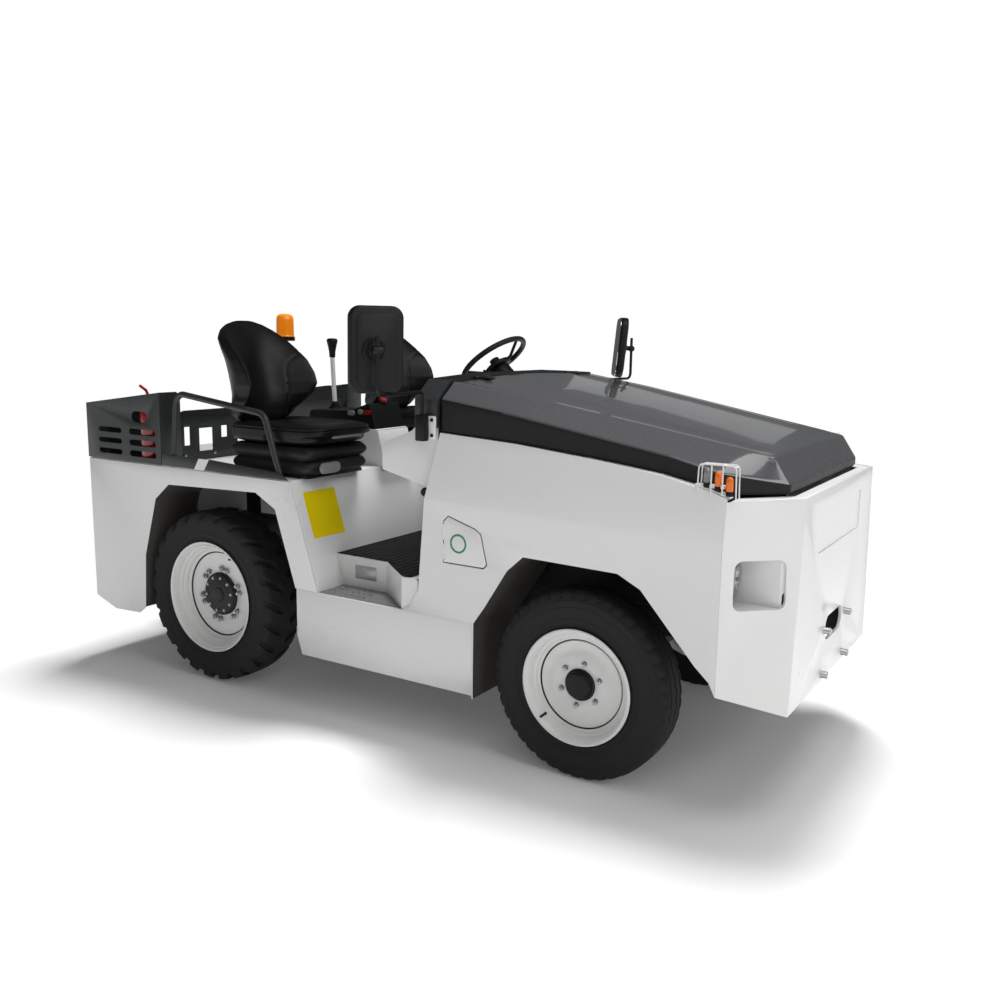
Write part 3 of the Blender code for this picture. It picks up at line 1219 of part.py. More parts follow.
def build_steering():
    """Steering wheel with three spokes on its raked column."""
    tilt = math.radians(COLUMN_TILT_DEG)
    axis = Vector((0, math.sin(tilt), math.cos(tilt)))
    hub = Vector((WHEEL_X, WHEEL_Y, WHEEL_Z)) - axis * 0.045
    rim_profile = [(WHEEL_RADIUS + 0.014 * math.cos(a), 0.014 * math.sin(a))
                   for a in (2 * math.pi * i / 6 for i in range(6))]
    rim = turned("steering_wheel", rim_profile, (WHEEL_X, WHEEL_Y, WHEEL_Z), axis, 28,
                 "black_plastic")
    boss = rod("steering_boss", hub - axis * 0.012, hub + axis * 0.022, 0.040, 20)
    turn = aim(axis)
    spokes = []
    for index, angle in enumerate((90, 215, 325)):
        reach = turn @ Vector((math.cos(math.radians(angle)), math.sin(math.radians(angle)), 0))
        centre = Vector((WHEEL_X, WHEEL_Y, WHEEL_Z))
        spokes.append(tube("steering_spoke_%d" % index,
                           [(*(hub + reach * 0.020), 0), (*(hub + reach * 0.080), 0.03),
                            (*(centre + reach * WHEEL_RADIUS), 0)], 0.008, None, 1))
    combine(rim, [boss, *spokes])
    hang_on(rim, (WHEEL_X, WHEEL_Y, WHEEL_Z), "steering_wheel_axis")
    top = hub - axis * (0.012 + GAP)
    bottom = top - axis * ((top.y + 0.4295) / axis.y)
    column = rod("steering_column", top, bottom, 0.030, 16, "black_plastic")
    stop = box("column_trim", (0, -0.60, 0.5), (0.9, -0.4300 + GAP, 1.5))
    cowl = turned("column_cowl", [(0.0, -0.003), (0.052, -0.003), (0.060, -0.060),
                                  (0.050, -0.200), (0.0, -0.200)], top, axis, 16)
    combine(column, [cowl])
    cut(column, [stop])


def build_pedals():
    """Brake and drive pedals on one bracket at the firewall."""
    bracket = box("pedal_set", (0.400, -0.430 + GAP, 0.860), (0.640, -0.415, 0.900),
                  "black_plastic")
    extras = []
    for index, (x, width) in enumerate(((0.440, 0.070), (0.590, 0.055))):
        extras.append(tube("pedal_stem_%d" % index, [(x, -0.420, 0.880, 0), (x, -0.340, 0.840, 0)],
                           0.008, None, 1))
        pad = box("pedal_pad_%d" % index, (-width / 2, -0.006, -0.045), (width / 2, 0.006, 0.045))
        pad.data.transform(Matrix.Translation((x, -0.335, 0.825)) @ Matrix.Rotation(0.6, 4, "X"))
        extras.append(pad)
    return combine(bracket, extras)


def build_headlamp(side, word):
    """Round lamp at the back of its recess, facing forwards."""
    x, back = side * 0.650, LAMP_POCKET[2][1] - GAP
    lamp = rod("headlamp_" + word, (x, back - 0.030, LAMP_Z), (x, back - 0.048, LAMP_Z), 0.057, 20,
               "lamp_glass")
    shell = rod("headlamp_shell_" + word, (x, back - 0.031, LAMP_Z), (x, back, LAMP_Z), 0.056, 20,
                None, 0.040)
    return combine(lamp, [shell])


def build_indicator(side, word):
    """Indicator lamp on the shoulder of the wing inside its wire guard."""
    name = "indicator_" + word
    y0, y1 = -1.645, -1.530
    foot = 0.010
    inner, outer = 0.682, 0.716
    line = [(y0, top_z(y0) + GAP), (-1.600, top_z(-1.600) + GAP), (y1, top_z(y1) + GAP),
            (y1, top_z(y1) + foot), (y0, top_z(y0) + foot)]
    base = side_plate(name, line, outer, outer - inner, side, "amber_lens")
    lens = side_box(name + "_lens", side, inner + 0.004, outer - 0.003, (y0 + 0.012, y1 - 0.012),
                    (top_z(y1) - 0.002, top_z(y1) + 0.070))
    return combine(base, [lens])


def build_extinguisher():
    """Fire extinguisher standing in the right tail box."""
    x, y = -(HALF_WIDTH - 0.064), 1.320
    foot = DECK_Z + 0.008 + GAP
    profile = [(0.0, 0.0), (0.050, 0.0), (0.054, 0.010), (0.054, 0.225), (0.046, 0.255),
               (0.020, 0.272), (0.018, 0.300), (0.0, 0.300)]
    bottle = turned("fire_extinguisher", profile, (x, y, foot), (0, 0, 1), 16, "red_paint")
    handle = box("extinguisher_handle", (x - 0.008, y - 0.020, foot + 0.285),
                 (x + 0.008, y + 0.070, foot + 0.300))
    lever = tube("extinguisher_lever", [(x, y + 0.000, foot + 0.295, 0),
                                        (x, y + 0.030, foot + 0.345, 0.01),
                                        (x, y + 0.075, foot + 0.368, 0)], 0.008, None, 1)
    return combine(bottle, [handle, lever])


def build_tail_lamp(side, word):
    """Rear combination lamp on the tail plate."""
    return side_box("tail_lamp_" + word, side, 0.590, 0.690, (REAR_Y + GAP, REAR_Y + 0.030),
                    (0.880, 0.960), "red_lens")


def build_pair_pieces():
    """Everything that the vehicle has once on each side."""
    for side, word in SIDES:
        build_front_fender(side, word)
        build_rear_fender(side, word)
        build_deck_trim(side, word)
        build_tail_box(side, word)
        build_knuckle(side, word)
        build_front_tyre(side, word)
        build_rear_tyre(side, word)
        build_rim("front", side, word)
        build_rim("rear", side, word)
        build_seat(side, word)
        build_grab_rail(side, word)
        build_mirror(side, word)
        build_headlamp(side, word)
        build_indicator(side, word)
        build_tail_lamp(side, word)


def build_single_pieces():
    """Everything that the vehicle has once."""
    build_nose_plate()
    build_bonnet()
    build_scuttle()
    build_charge_flap()
    build_tub()
    build_seat_box()
    build_rear_guard()
    build_tail_plate()
    build_hitch()
    build_hitch_pin()
    build_frame()
    build_battery()
    build_front_axle()
    build_rear_axle()
    build_console()
    build_beacon()
    build_steering()
    build_pedals()
    build_extinguisher()


build_pair_pieces()
build_single_pieces()
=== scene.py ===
"""Looks of the airport baggage tug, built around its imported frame.

The bodies stand as the frame gives them: metres, +Z up, nose towards -Y, driver's side +X.
Each sub-assembly is a class that models its pieces, gives them their finish and lets them
ride on their body. The camera stands where the photograph was taken from.
"""
from __future__ import annotations

import logging
import math
from collections.abc import Callable, Iterable, Sequence
from dataclasses import dataclass, field
from enum import Enum

import bpy
from mathutils import Matrix, Vector


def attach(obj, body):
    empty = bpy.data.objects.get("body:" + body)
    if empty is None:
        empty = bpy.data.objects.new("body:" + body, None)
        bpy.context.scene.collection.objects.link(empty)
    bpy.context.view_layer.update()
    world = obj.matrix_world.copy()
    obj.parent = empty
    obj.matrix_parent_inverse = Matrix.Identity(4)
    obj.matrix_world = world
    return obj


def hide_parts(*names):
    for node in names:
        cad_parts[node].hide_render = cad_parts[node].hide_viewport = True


LOG = logging.getLogger("baggage_tug")
Point = Sequence[float]
Item = bpy.types.Object

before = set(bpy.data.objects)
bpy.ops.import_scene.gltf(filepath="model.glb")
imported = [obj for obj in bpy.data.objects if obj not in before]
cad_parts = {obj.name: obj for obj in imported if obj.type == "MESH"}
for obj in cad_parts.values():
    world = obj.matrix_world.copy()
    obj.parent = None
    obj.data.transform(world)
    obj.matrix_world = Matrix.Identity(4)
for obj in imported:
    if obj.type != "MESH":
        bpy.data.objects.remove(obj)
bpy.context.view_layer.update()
SIDES = ((-1, "right"), (1, "left"))
MM = 0.001


class Grain(Enum):
    """What breaks up a surface when seen close."""

    NONE = "none"
    FINE = "fine noise"
    ORANGE_PEEL = "sprayed paint"
    HAMMER = "hammered paint"
    LEATHER = "pressed leather grain"
    BRUSHED = "turned or brushed lines"


def linear(code: str) -> tuple[float, float, float, float]:
    """Turn an sRGB hex colour into linear RGBA.

    Args:
        code: The colour as six hex digits.

    Returns:
        Red, green, blue and alpha in linear light.
    """
    parts = [int(code[i:i + 2], 16) / 255 for i in (0, 2, 4)]
    low, knee = 12.92, 0.04045
    values = [p / low if p <= knee else ((p + 0.055) / 1.055) ** 2.4 for p in parts]
    return (values[0], values[1], values[2], 1.0)


def add_node(tree: bpy.types.NodeTree, kind: str, inputs: dict | None = None,
             **settings: object) -> bpy.types.Node:
    """Add a node, set its options and fill or link its inputs.

    Args:
        tree: The node tree.
        kind: The node's type name.
        inputs: Socket name or number to a value, or to the socket that feeds it.
        **settings: Properties of the node itself.

    Returns:
        The new node.
    """
    node = tree.nodes.new(kind)
    for key, value in settings.items():
        setattr(node, key, value)
    for key, value in (inputs or {}).items():
        if isinstance(value, bpy.types.NodeSocket):
            tree.links.new(value, node.inputs[key])
        else:
            node.inputs[key].default_value = value
    return node


@dataclass(frozen=True)
class Finish:
    """One material: what it is made of, how it was made and how it has worn."""

    name: str
    colour: str
    shade: str
    roughness: float
    metallic: float = 0.0
    coat: float = 0.0
    coat_roughness: float = 0.05
    ior: float = 1.5
    transmission: float = 0.0
    alpha: float = 1.0
    glow: float = 0.0
    grain: Grain = Grain.NONE
    grain_mm: float = 1.0
    grain_depth_mm: float = 0.05
    cloud_mm: float = 400.0
    dust: str = "8C867C"
    dusty: float = 0.0
    dust_top: float = 0.5
    spread: float = 0.06

    def build(self) -> bpy.types.Material:
        """Return the material, made the first time it is asked for."""
        known = bpy.data.materials.get(self.name)
        if known:
            return known
        material = bpy.data.materials.new(self.name)
        material.use_nodes = True
        tree = material.node_tree
        tree.nodes.clear()
        place = add_node(tree, "ShaderNodeTexCoord").outputs["Object"]
        cloud = add_node(tree, "ShaderNodeTexNoise",
                         {"Vector": place, "Scale": 1 / (self.cloud_mm * MM), "Detail": 6.0,
                          "Roughness": 0.6})
        shader = add_node(tree, "ShaderNodeBsdfPrincipled",
                          {"Metallic": self.metallic, "IOR": self.ior, "Coat Weight": self.coat,
                           "Coat Roughness": self.coat_roughness,
                           "Transmission Weight": self.transmission, "Alpha": self.alpha})
        colour = self._colour(tree, place, cloud)
        tree.links.new(colour, shader.inputs["Base Color"])
        self._roughness(tree, place, cloud, shader)
        if self.glow:
            shader.inputs["Emission Color"].default_value = linear(self.colour)
            shader.inputs["Emission Strength"].default_value = self.glow
        bump = self._bump(tree, place)
        if bump:
            tree.links.new(bump, shader.inputs["Normal"])
        add_node(tree, "ShaderNodeOutputMaterial", {"Surface": shader.outputs["BSDF"]})
        return material

    def _colour(self, tree: bpy.types.NodeTree, place: bpy.types.NodeSocket,
                cloud: bpy.types.Node) -> bpy.types.NodeSocket:
        """Mix the main colour with its shade in clouds, and dust towards the ground."""
        mixed = add_node(tree, "ShaderNodeMix", {"Factor": cloud.outputs["Fac"]}, data_type="RGBA")
        mixed.inputs["A"].default_value = linear(self.colour)
        mixed.inputs["B"].default_value = linear(self.shade)
        if not self.dusty:
            return mixed.outputs["Result"]
        height = add_node(tree, "ShaderNodeSeparateXYZ", {"Vector": place}).outputs["Z"]
        low = add_node(tree, "ShaderNodeMapRange",
                       {"Value": height, "From Min": 0.0, "From Max": self.dust_top,
                        "To Min": self.dusty, "To Max": 0.0})
        specks = add_node(tree, "ShaderNodeTexNoise",
                          {"Vector": place, "Scale": 1 / (60 * MM), "Detail": 8.0})
        patchy = add_node(tree, "ShaderNodeMapRange",
                          {"Value": specks.outputs["Fac"], "From Min": 0.35, "From Max": 0.7,
                           "To Min": 0.15, "To Max": 1.0})
        amount = add_node(tree, "ShaderNodeMath",
                          {0: low.outputs["Result"], 1: patchy.outputs["Result"]},
                          operation="MULTIPLY")
        dusted = add_node(tree, "ShaderNodeMix",
                          {"Factor": amount.outputs["Value"]}, data_type="RGBA")
        tree.links.new(mixed.outputs["Result"], dusted.inputs["A"])
        dusted.inputs["B"].default_value = linear(self.dust)
        return dusted.outputs["Result"]

    def _roughness(self, tree: bpy.types.NodeTree, place: bpy.types.NodeSocket,
                   cloud: bpy.types.Node, shader: bpy.types.Node) -> None:
        """Let the gloss vary as handling and cleaning leave it."""
        smear = add_node(tree, "ShaderNodeTexNoise",
                         {"Vector": place, "Scale": 1 / (35 * MM), "Detail": 5.0,
                          "Distortion": 0.6})
        joined = add_node(tree, "ShaderNodeMath",
                          {0: smear.outputs["Fac"], 1: cloud.outputs["Fac"]}, operation="MULTIPLY")
        rough = add_node(tree, "ShaderNodeMapRange",
                         {"Value": joined.outputs["Value"], "From Min": 0.1, "From Max": 0.45,
                          "To Min": max(0.02, self.roughness - self.spread),
                          "To Max": min(1.0, self.roughness + self.spread)})
        tree.links.new(rough.outputs["Result"], shader.inputs["Roughness"])

    def _bump(self, tree: bpy.types.NodeTree,
              place: bpy.types.NodeSocket) -> bpy.types.NodeSocket | None:
        """Return the surface's fine relief as a normal, if it has any."""
        if self.grain is Grain.NONE:
            return None
        scale = 1 / (self.grain_mm * MM)
        if self.grain in (Grain.HAMMER, Grain.LEATHER):
            cells = add_node(tree, "ShaderNodeTexVoronoi", {"Vector": place, "Scale": scale},
                             feature="SMOOTH_F1" if self.grain is Grain.HAMMER else "F1")
            height = cells.outputs["Distance"]
        elif self.grain is Grain.BRUSHED:
            bands = add_node(tree, "ShaderNodeTexNoise",
                             {"Vector": place, "Scale": scale, "Detail": 3.0, "Distortion": 0.2})
            height = bands.outputs["Fac"]
        else:
            noise = add_node(tree, "ShaderNodeTexNoise",
                             {"Vector": place, "Scale": scale, "Detail": 4.0})
            height = noise.outputs["Fac"]
        bump = add_node(tree, "ShaderNodeBump",
                        {"Height": height, "Strength": 1.0,
                         "Distance": self.grain_depth_mm * MM})
        return bump.outputs["Normal"]


# Two-pack sprayed enamel on steel: slight orange peel under an even gloss
WHITE = Finish("white_enamel", "E9E9E7", "E3E4E3", 0.30, coat=0.35, coat_roughness=0.12,
               grain=Grain.ORANGE_PEEL, grain_mm=7.0, grain_depth_mm=0.012, dusty=0.14,
               dust_top=0.50, cloud_mm=900, spread=0.03)
# Wheel enamel: the same paint, duller and dustier
WHEEL_WHITE = Finish("wheel_enamel", "ECECEA", "E4E4E2", 0.36, coat=0.2, grain=Grain.ORANGE_PEEL,
                     grain_mm=5.0, grain_depth_mm=0.015, dusty=0.09, dust_top=0.9)
# Metallic grey lacquer over glass fibre: deep gloss that mirrors the studio
# Bonnet: dark grey lacquer under a glossy clear coat
BONNET = Finish("grey_lacquer", "565658", "4E4E50", 0.26, metallic=0.15, coat=1.0,
                coat_roughness=0.05, grain=Grain.ORANGE_PEEL, grain_mm=14.0,
                grain_depth_mm=0.02, cloud_mm=700)
# The bonnet's black lower band: satin black lacquer with no clear coat
BONNET_BLACK = Finish("black_lacquer", "0C0C0D", "101011", 0.46, ior=1.40,
                      grain=Grain.ORANGE_PEEL, grain_mm=9.0, grain_depth_mm=0.01)
# Powder coat with a hammered skin: dimples about 4 mm across and half a millimetre deep
HAMMERED = Finish("hammered_powder_coat", "37393A", "2C2E2F", 0.38, metallic=0.25,
                  grain=Grain.HAMMER, grain_mm=4.2, grain_depth_mm=0.55, cloud_mm=150)
# Chassis black: satin brushed-on paint with road dust
CHASSIS = Finish("chassis_black", "101011", "161616", 0.55, grain=Grain.FINE, grain_mm=3.0,
                 grain_depth_mm=0.06, dusty=0.5, dust_top=0.5, dust="5C5750")
# Inside of the wheel arches: grey-brown stone-chip coating, coarse and matt; on the wheels the same
# finish is painted shade in the rim grooves
ARCH_COAT_AND_GROOVE_SHADE = Finish("stone_chip_coating_and_groove_shade", "45423F", "383532", 0.75, grain=Grain.FINE, grain_mm=2.2,
              grain_depth_mm=0.25, dusty=0.4, dust_top=0.9, dust="4A4238")
# Tyre rubber: matt with a bloom of dust near the tread
RUBBER = Finish("tyre_rubber", "090909", "0D0D0D", 0.74, ior=1.34, grain=Grain.FINE, grain_mm=1.6,
                grain_depth_mm=0.10, dusty=0.09, dust_top=0.8, dust="242220", cloud_mm=120)
# Moulded seat vinyl over foam: pressed grain of about 2 mm, soft sheen
VINYL = Finish("seat_vinyl", "0A0A0B", "0D0D0E", 0.42, ior=1.37,
               grain=Grain.LEATHER, grain_mm=2.0, grain_depth_mm=0.10, cloud_mm=90)
# Rubber bellows under the seat
BELLOWS = Finish("bellows_rubber", "0A0A0A", "0F0F0F", 0.62, grain=Grain.FINE, grain_mm=1.2,
                 grain_depth_mm=0.08)
# Injection-moulded black plastic with a spark-eroded texture
PLASTIC = Finish("moulded_black_plastic", "0A0A0B", "0E0E0F", 0.48, ior=1.37, grain=Grain.FINE,
                 grain_mm=0.8, grain_depth_mm=0.05)
GREY_PLASTIC = Finish("moulded_grey_plastic", "8B8D8E", "7F8182", 0.45, grain=Grain.FINE,
                      grain_mm=0.9, grain_depth_mm=0.05)
RED_PLASTIC = Finish("moulded_red_plastic", "B01513", "98100F", 0.35, grain=Grain.FINE,
                     grain_mm=0.9, grain_depth_mm=0.03)
# Ribbed mat rubber
MAT = Finish("mat_rubber", "0F0F0F", "151515", 0.66, grain=Grain.FINE, grain_mm=1.4,
             grain_depth_mm=0.12, dusty=0.12, dust_top=1.2, dust="3A3834")
# Zinc-plated steel fasteners: bright with faint tool lines; on the step dimples the same finish is a
# painted highlight on plate of one metal
ZINC_AND_DIMPLE_HIGHLIGHT = Finish("zinc_plate_and_dimple_highlight", "B9BBBD", "A2A4A6", 0.30, metallic=1.0, grain=Grain.BRUSHED,
              grain_mm=1.2, grain_depth_mm=0.03, cloud_mm=30)
# Machined steel: turned lines and a film of oil
STEEL = Finish("machined_steel", "8A8C8E", "77797B", 0.34, metallic=1.0, grain=Grain.BRUSHED,
               grain_mm=0.9, grain_depth_mm=0.04, cloud_mm=50)
# Galvanised step tread: dull spangled zinc
TREAD = Finish("galvanised_tread", "8C8E90", "7B7D7F", 0.44, metallic=0.5, grain=Grain.FINE,
               grain_mm=4.0, grain_depth_mm=0.08, cloud_mm=25)
# Red enamel of the extinguisher and its handles
RED = Finish("red_enamel", "A30F12", "8E0C0F", 0.22, coat=0.6, grain=Grain.ORANGE_PEEL,
             grain_mm=5.0, grain_depth_mm=0.02)
# Lens plastics
AMBER = Finish("amber_acrylic", "F57C00", "EA6C00", 0.12, ior=1.49, transmission=0.20,
               coat=0.5, glow=0.08, grain=Grain.BRUSHED, grain_mm=3.0, grain_depth_mm=0.05)
BEACON = Finish("beacon_polycarbonate", "FF9400", "FA8A00", 0.14, ior=1.58, transmission=0.10,
                coat=0.5, glow=0.16, grain=Grain.BRUSHED, grain_mm=3.0, grain_depth_mm=0.05)
RED_LENS = Finish("red_acrylic", "C4100C", "AE0D0A", 0.12, ior=1.49, transmission=0.3, coat=0.5,
                  grain=Grain.BRUSHED, grain_mm=3.0, grain_depth_mm=0.05)
CLEAR = Finish("clear_acrylic", "E9EDF0", "DDE2E6", 0.06, ior=1.49, transmission=0.85, coat=0.5,
               grain=Grain.BRUSHED, grain_mm=4.0, grain_depth_mm=0.04)
# Vacuum-coated reflector and mirror glass
REFLECTOR = Finish("reflector_coating", "D8DADC", "C9CBCD", 0.10, metallic=1.0,
                   grain=Grain.FINE, grain_mm=6.0, grain_depth_mm=0.03)
MIRROR = Finish("mirror_glass", "C8CDD0", "C3C8CB", 0.03, metallic=1.0, spread=0.02,
                grain=Grain.FINE, grain_mm=40.0, grain_depth_mm=0.01)
# Blank display glass
SCREEN = Finish("display_glass", "0C0F12", "101418", 0.08, coat=1.0, spread=0.03,
                grain=Grain.FINE, grain_mm=30.0, grain_depth_mm=0.01)
# Printed foils with nothing on them
YELLOW_FOIL = Finish("yellow_foil", "F6DE00", "EDD200", 0.35, coat=0.3, grain=Grain.FINE,
                     grain_mm=8.0, grain_depth_mm=0.03, cloud_mm=40)
SILVER_FOIL = Finish("silver_foil", "B4B6B8", "A3A5A7", 0.32, metallic=0.8, grain=Grain.BRUSHED,
                     grain_mm=1.5, grain_depth_mm=0.03, cloud_mm=40)
GREEN_FOIL = Finish("green_foil", "0F8A4E", "0D7E47", 0.35, coat=0.3, grain=Grain.FINE,
                    grain_mm=8.0, grain_depth_mm=0.02, cloud_mm=40)


# Modelling tools

def deselect() -> None:
    """Let go of everything."""
    bpy.ops.object.select_all(action="DESELECT")


def pick(*items: Item) -> None:
    """Select only these objects and make the first one active."""
    deselect()
    for item in items:
        item.select_set(True)
    bpy.context.view_layer.objects.active = items[0]


def settle(item: Item) -> Item:
    """Move an object's place, turn and size into its mesh."""
    pick(item)
    bpy.ops.object.transform_apply(location=True, rotation=True, scale=True)
    return item


def modify(item: Item, kind: str, **settings: object) -> Item:
    """Add a modifier with its settings and apply it.

    Args:
        item: The object.
        kind: The modifier's type.
        **settings: Its properties.

    Returns:
        The same object.
    """
    pick(item)
    step = item.modifiers.new(kind.lower(), kind)
    for key, value in settings.items():
        setattr(step, key, value)
    bpy.ops.object.modifier_apply(modifier=step.name)
    return item


def round_edges(item: Item, width: float, segments: int = 2, angle: float = 30) -> Item:
    """Bevel the edges that are sharper than the angle in degrees."""
    return modify(item, "BEVEL", width=width, segments=segments, limit_method="ANGLE",
                  angle_limit=math.radians(angle), use_clamp_overlap=True)


def edit(item: Item, *steps: Callable[[], object]) -> Item:
    """Run edit mode operators on all of an object's mesh.

    Args:
        item: The object.
        *steps: Operators to call in order.

    Returns:
        The same object.
    """
    pick(item)
    bpy.ops.object.mode_set(mode="EDIT")
    bpy.ops.mesh.select_mode(type="VERT")
    bpy.ops.mesh.select_all(action="SELECT")
    for step in steps:
        step()
    bpy.ops.object.mode_set(mode="OBJECT")
    return item


def clean(item: Item, distance: float = 0.00002) -> Item:
    """Merge an object's doubles and turn its faces outwards."""
    return edit(item, lambda: bpy.ops.mesh.remove_doubles(threshold=distance),
                lambda: bpy.ops.mesh.normals_make_consistent(inside=False))


def block(low: Point, high: Point, bevel: float = 0.0, segments: int = 2) -> Item:
    """Box between two corners with its edges rounded.

    Args:
        low: One corner.
        high: The opposite corner.
        bevel: Width of the rounding.
        segments: Steps in the rounding.

    Returns:
        The new object.
    """
    deselect()
    size = [abs(b - a) for a, b in zip(low, high)]
    bpy.ops.mesh.primitive_cube_add(size=1, location=[(a + b) / 2 for a, b in zip(low, high)])
    item = bpy.context.object
    item.scale = size
    settle(item)
    return round_edges(item, bevel, segments) if bevel else item


def facing(direction: Point) -> Matrix:
    """Turn that points local +Z along the direction."""
    return Vector(direction).to_track_quat("Z", "Y").to_matrix().to_4x4()


def round_bar(start: Point, end: Point, radius: float, end_radius: float | None = None,
              sides: int = 32, bevel: float = 0.0) -> Item:
    """Cylinder or cone between two points.

    Args:
        start: Centre of the first end.
        end: Centre of the other end.
        radius: Radius at the start.
        end_radius: Radius at the end, the same if left out.
        sides: Faces round it.
        bevel: Rounding of its rims.

    Returns:
        The new object.
    """
    first, last = Vector(start), Vector(end)
    deselect()
    bpy.ops.mesh.primitive_cone_add(vertices=sides, radius1=radius,
                                    radius2=radius if end_radius is None else end_radius,
                                    depth=(last - first).length)
    item = bpy.context.object
    item.matrix_world = Matrix.Translation((first + last) / 2) @ facing(last - first)
    settle(item)
    return round_edges(item, bevel, 2) if bevel else item


def chain(points: Sequence[Point]) -> Item:
    """Line of joined vertices, extruded one from the next."""
    deselect()
    bpy.ops.mesh.primitive_plane_add(size=0.01, location=(0, 0, 0))
    item = bpy.context.object
    bpy.ops.object.mode_set(mode="EDIT")
    bpy.ops.mesh.select_mode(type="VERT")
    bpy.ops.mesh.select_all(action="SELECT")
    bpy.ops.mesh.merge(type="CENTER")
    here = Vector(points[0])
    bpy.ops.transform.translate(value=here)
    for point in points[1:]:
        there = Vector(point)
        bpy.ops.mesh.extrude_region_move(TRANSFORM_OT_translate={"value": there - here})
        here = there
    bpy.ops.object.mode_set(mode="OBJECT")
    return item


def turned(profile: Sequence[tuple[float, float]], centre: Point, axis: Point,
           steps: int = 48, closed: bool = False) -> Item:
    """Spin a profile round an axis.

    Args:
        profile: Points (radius, distance along the axis).
        centre: Where the axis starts.
        axis: Its direction.
        steps: Faces round it.
        closed: Whether the profile is a loop, as in a ring.

    Returns:
        The new object.
    """
    points = [(radius, 0.0, height) for radius, height in profile]
    item = chain(points + points[:1] if closed else points)
    edit(item, lambda: bpy.ops.mesh.spin(steps=steps, angle=2 * math.pi, center=(0, 0, 0),
                                         axis=(0, 0, 1)))
    clean(item)
    item.matrix_world = Matrix.Translation(centre) @ facing(axis)
    return settle(item)


def sheet_metal(outline: Sequence[Point], depth: Point, bevel: float = 0.0) -> Item:
    """Flat plate from an outline, extruded by a vector."""
    item = chain(outline)
    edit(item, lambda: bpy.ops.mesh.edge_face_add(),
         lambda: bpy.ops.mesh.extrude_region_move(TRANSFORM_OT_translate={"value": depth}),
         lambda: bpy.ops.mesh.select_all(action="SELECT"),
         lambda: bpy.ops.mesh.normals_make_consistent(inside=False))
    return round_edges(item, bevel, 2) if bevel else item


def tube(points: Sequence[Point], radius: float, sides: int = 3, soft: bool = False,
         closed: bool = False) -> Item:
    """Round bar bent along a path.

    Args:
        points: The path.
        radius: Radius of the bar.
        sides: Bevel resolution of the curve.
        soft: Whether the path is a smooth curve through its points.
        closed: Whether the path comes back to its start.

    Returns:
        The new object, as a mesh.
    """
    curve = bpy.data.curves.new("bar", "CURVE")
    curve.dimensions = "3D"
    curve.bevel_depth = radius
    curve.bevel_resolution = sides
    curve.use_fill_caps = not closed
    curve.resolution_u = 8
    spline = curve.splines.new("BEZIER" if soft else "POLY")
    slots = spline.bezier_points if soft else spline.points
    slots.add(len(points) - 1)
    for slot, point in zip(slots, points):
        slot.co = point if soft else (*point, 1)
        if soft:
            slot.handle_left_type = slot.handle_right_type = "AUTO"
    spline.use_cyclic_u = closed
    item = bpy.data.objects.new("bar", curve)
    bpy.context.scene.collection.objects.link(item)
    pick(item)
    bpy.ops.object.convert(target="MESH")
    return clean(bpy.context.object)


def bent(points: Sequence[Point], radii: Sequence[float], steps: int = 6) -> list[Vector]:
    """Path through points whose inner corners are arcs of the given radii."""
    path = [Vector(points[0])]
    for before, here, after, radius in zip(points, points[1:], points[2:], radii):
        corner = Vector(here)
        back = (Vector(before) - corner).normalized()
        ahead = (Vector(after) - corner).normalized()
        half = back.angle(ahead) / 2
        middle = corner + (back + ahead).normalized() * (radius / math.sin(half))
        first = corner + back * (radius / math.tan(half)) - middle
        last = corner + ahead * (radius / math.tan(half)) - middle
        axis, sweep = first.cross(last).normalized(), first.angle(last)
        path += [middle + Matrix.Rotation(sweep * i / steps, 3, axis) @ first
                 for i in range(steps + 1)]
    return path + [Vector(points[-1])]


def reshape(item: Item, move: Callable[[Vector], Point]) -> Item:
    """Move every vertex to where a function puts it."""
    for vertex in item.data.vertices:
        vertex.co = move(vertex.co.copy())
    item.data.update()
    return item


def moved(item: Item, matrix: Matrix) -> Item:
    """Move a mesh by a matrix, its object staying at the origin."""
    item.data.transform(matrix)
    item.data.update()
    return item


def copy_of(item: Item, matrix: Matrix) -> Item:
    """Copy an object with its own mesh, moved by a matrix."""
    twin = item.copy()
    twin.data = item.data.copy()
    bpy.context.scene.collection.objects.link(twin)
    return moved(twin, matrix)


def about(centre: Point, axis: Point, angle: float) -> Matrix:
    """Turn by an angle in radians about an axis through a point."""
    return (Matrix.Translation(centre) @ Matrix.Rotation(angle, 4, Vector(axis))
            @ Matrix.Translation(-Vector(centre)))


def ring_of(item: Item, centre: Point, axis: Point, count: int) -> list[Item]:
    """The item and its copies, spread evenly round an axis."""
    return [item] + [copy_of(item, about(centre, axis, 2 * math.pi * i / count))
                     for i in range(1, count)]


def joined(items: Iterable[Item]) -> Item:
    """Join objects into the first of them."""
    found = list(items)
    pick(*found)
    if len(found) > 1:
        bpy.ops.object.join()
    return bpy.context.view_layer.objects.active


def painted(item: Item, finish: Finish) -> Item:
    """Give an object one finish all over."""
    item.data.materials.clear()
    item.data.materials.append(finish.build())
    return item


def painted_where(item: Item, finish: Finish, test: Callable[[Vector, Vector], bool]) -> Item:
    """Give a second finish to the faces whose centre and normal pass a test."""
    item.data.materials.append(finish.build())
    slot = len(item.data.materials) - 1
    for face in item.data.polygons:
        if test(face.center, face.normal):
            face.material_index = slot
    return item


def hand_in(item: Item, name: str, body: str, replaces: Sequence[str] = (),
            angle: float = 32) -> Item:
    """Name a finished piece, shade it and let it ride on its body.

    Args:
        item: The piece, with its finish on.
        name: Its name in the table.
        body: The body it rides on.
        replaces: Frame nodes that it stands for.
        angle: Faces that meet at less than this, in degrees, are shaded as one.

    Returns:
        The piece.
    """
    pick(item)
    bpy.ops.object.shade_smooth_by_angle(angle=math.radians(angle))
    item.name = name
    item.data.name = name
    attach(item, body)
    if replaces:
        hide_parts(*replaces)
    LOG.info("%s: %d faces on %s", name, len(item.data.polygons), body)
    return item


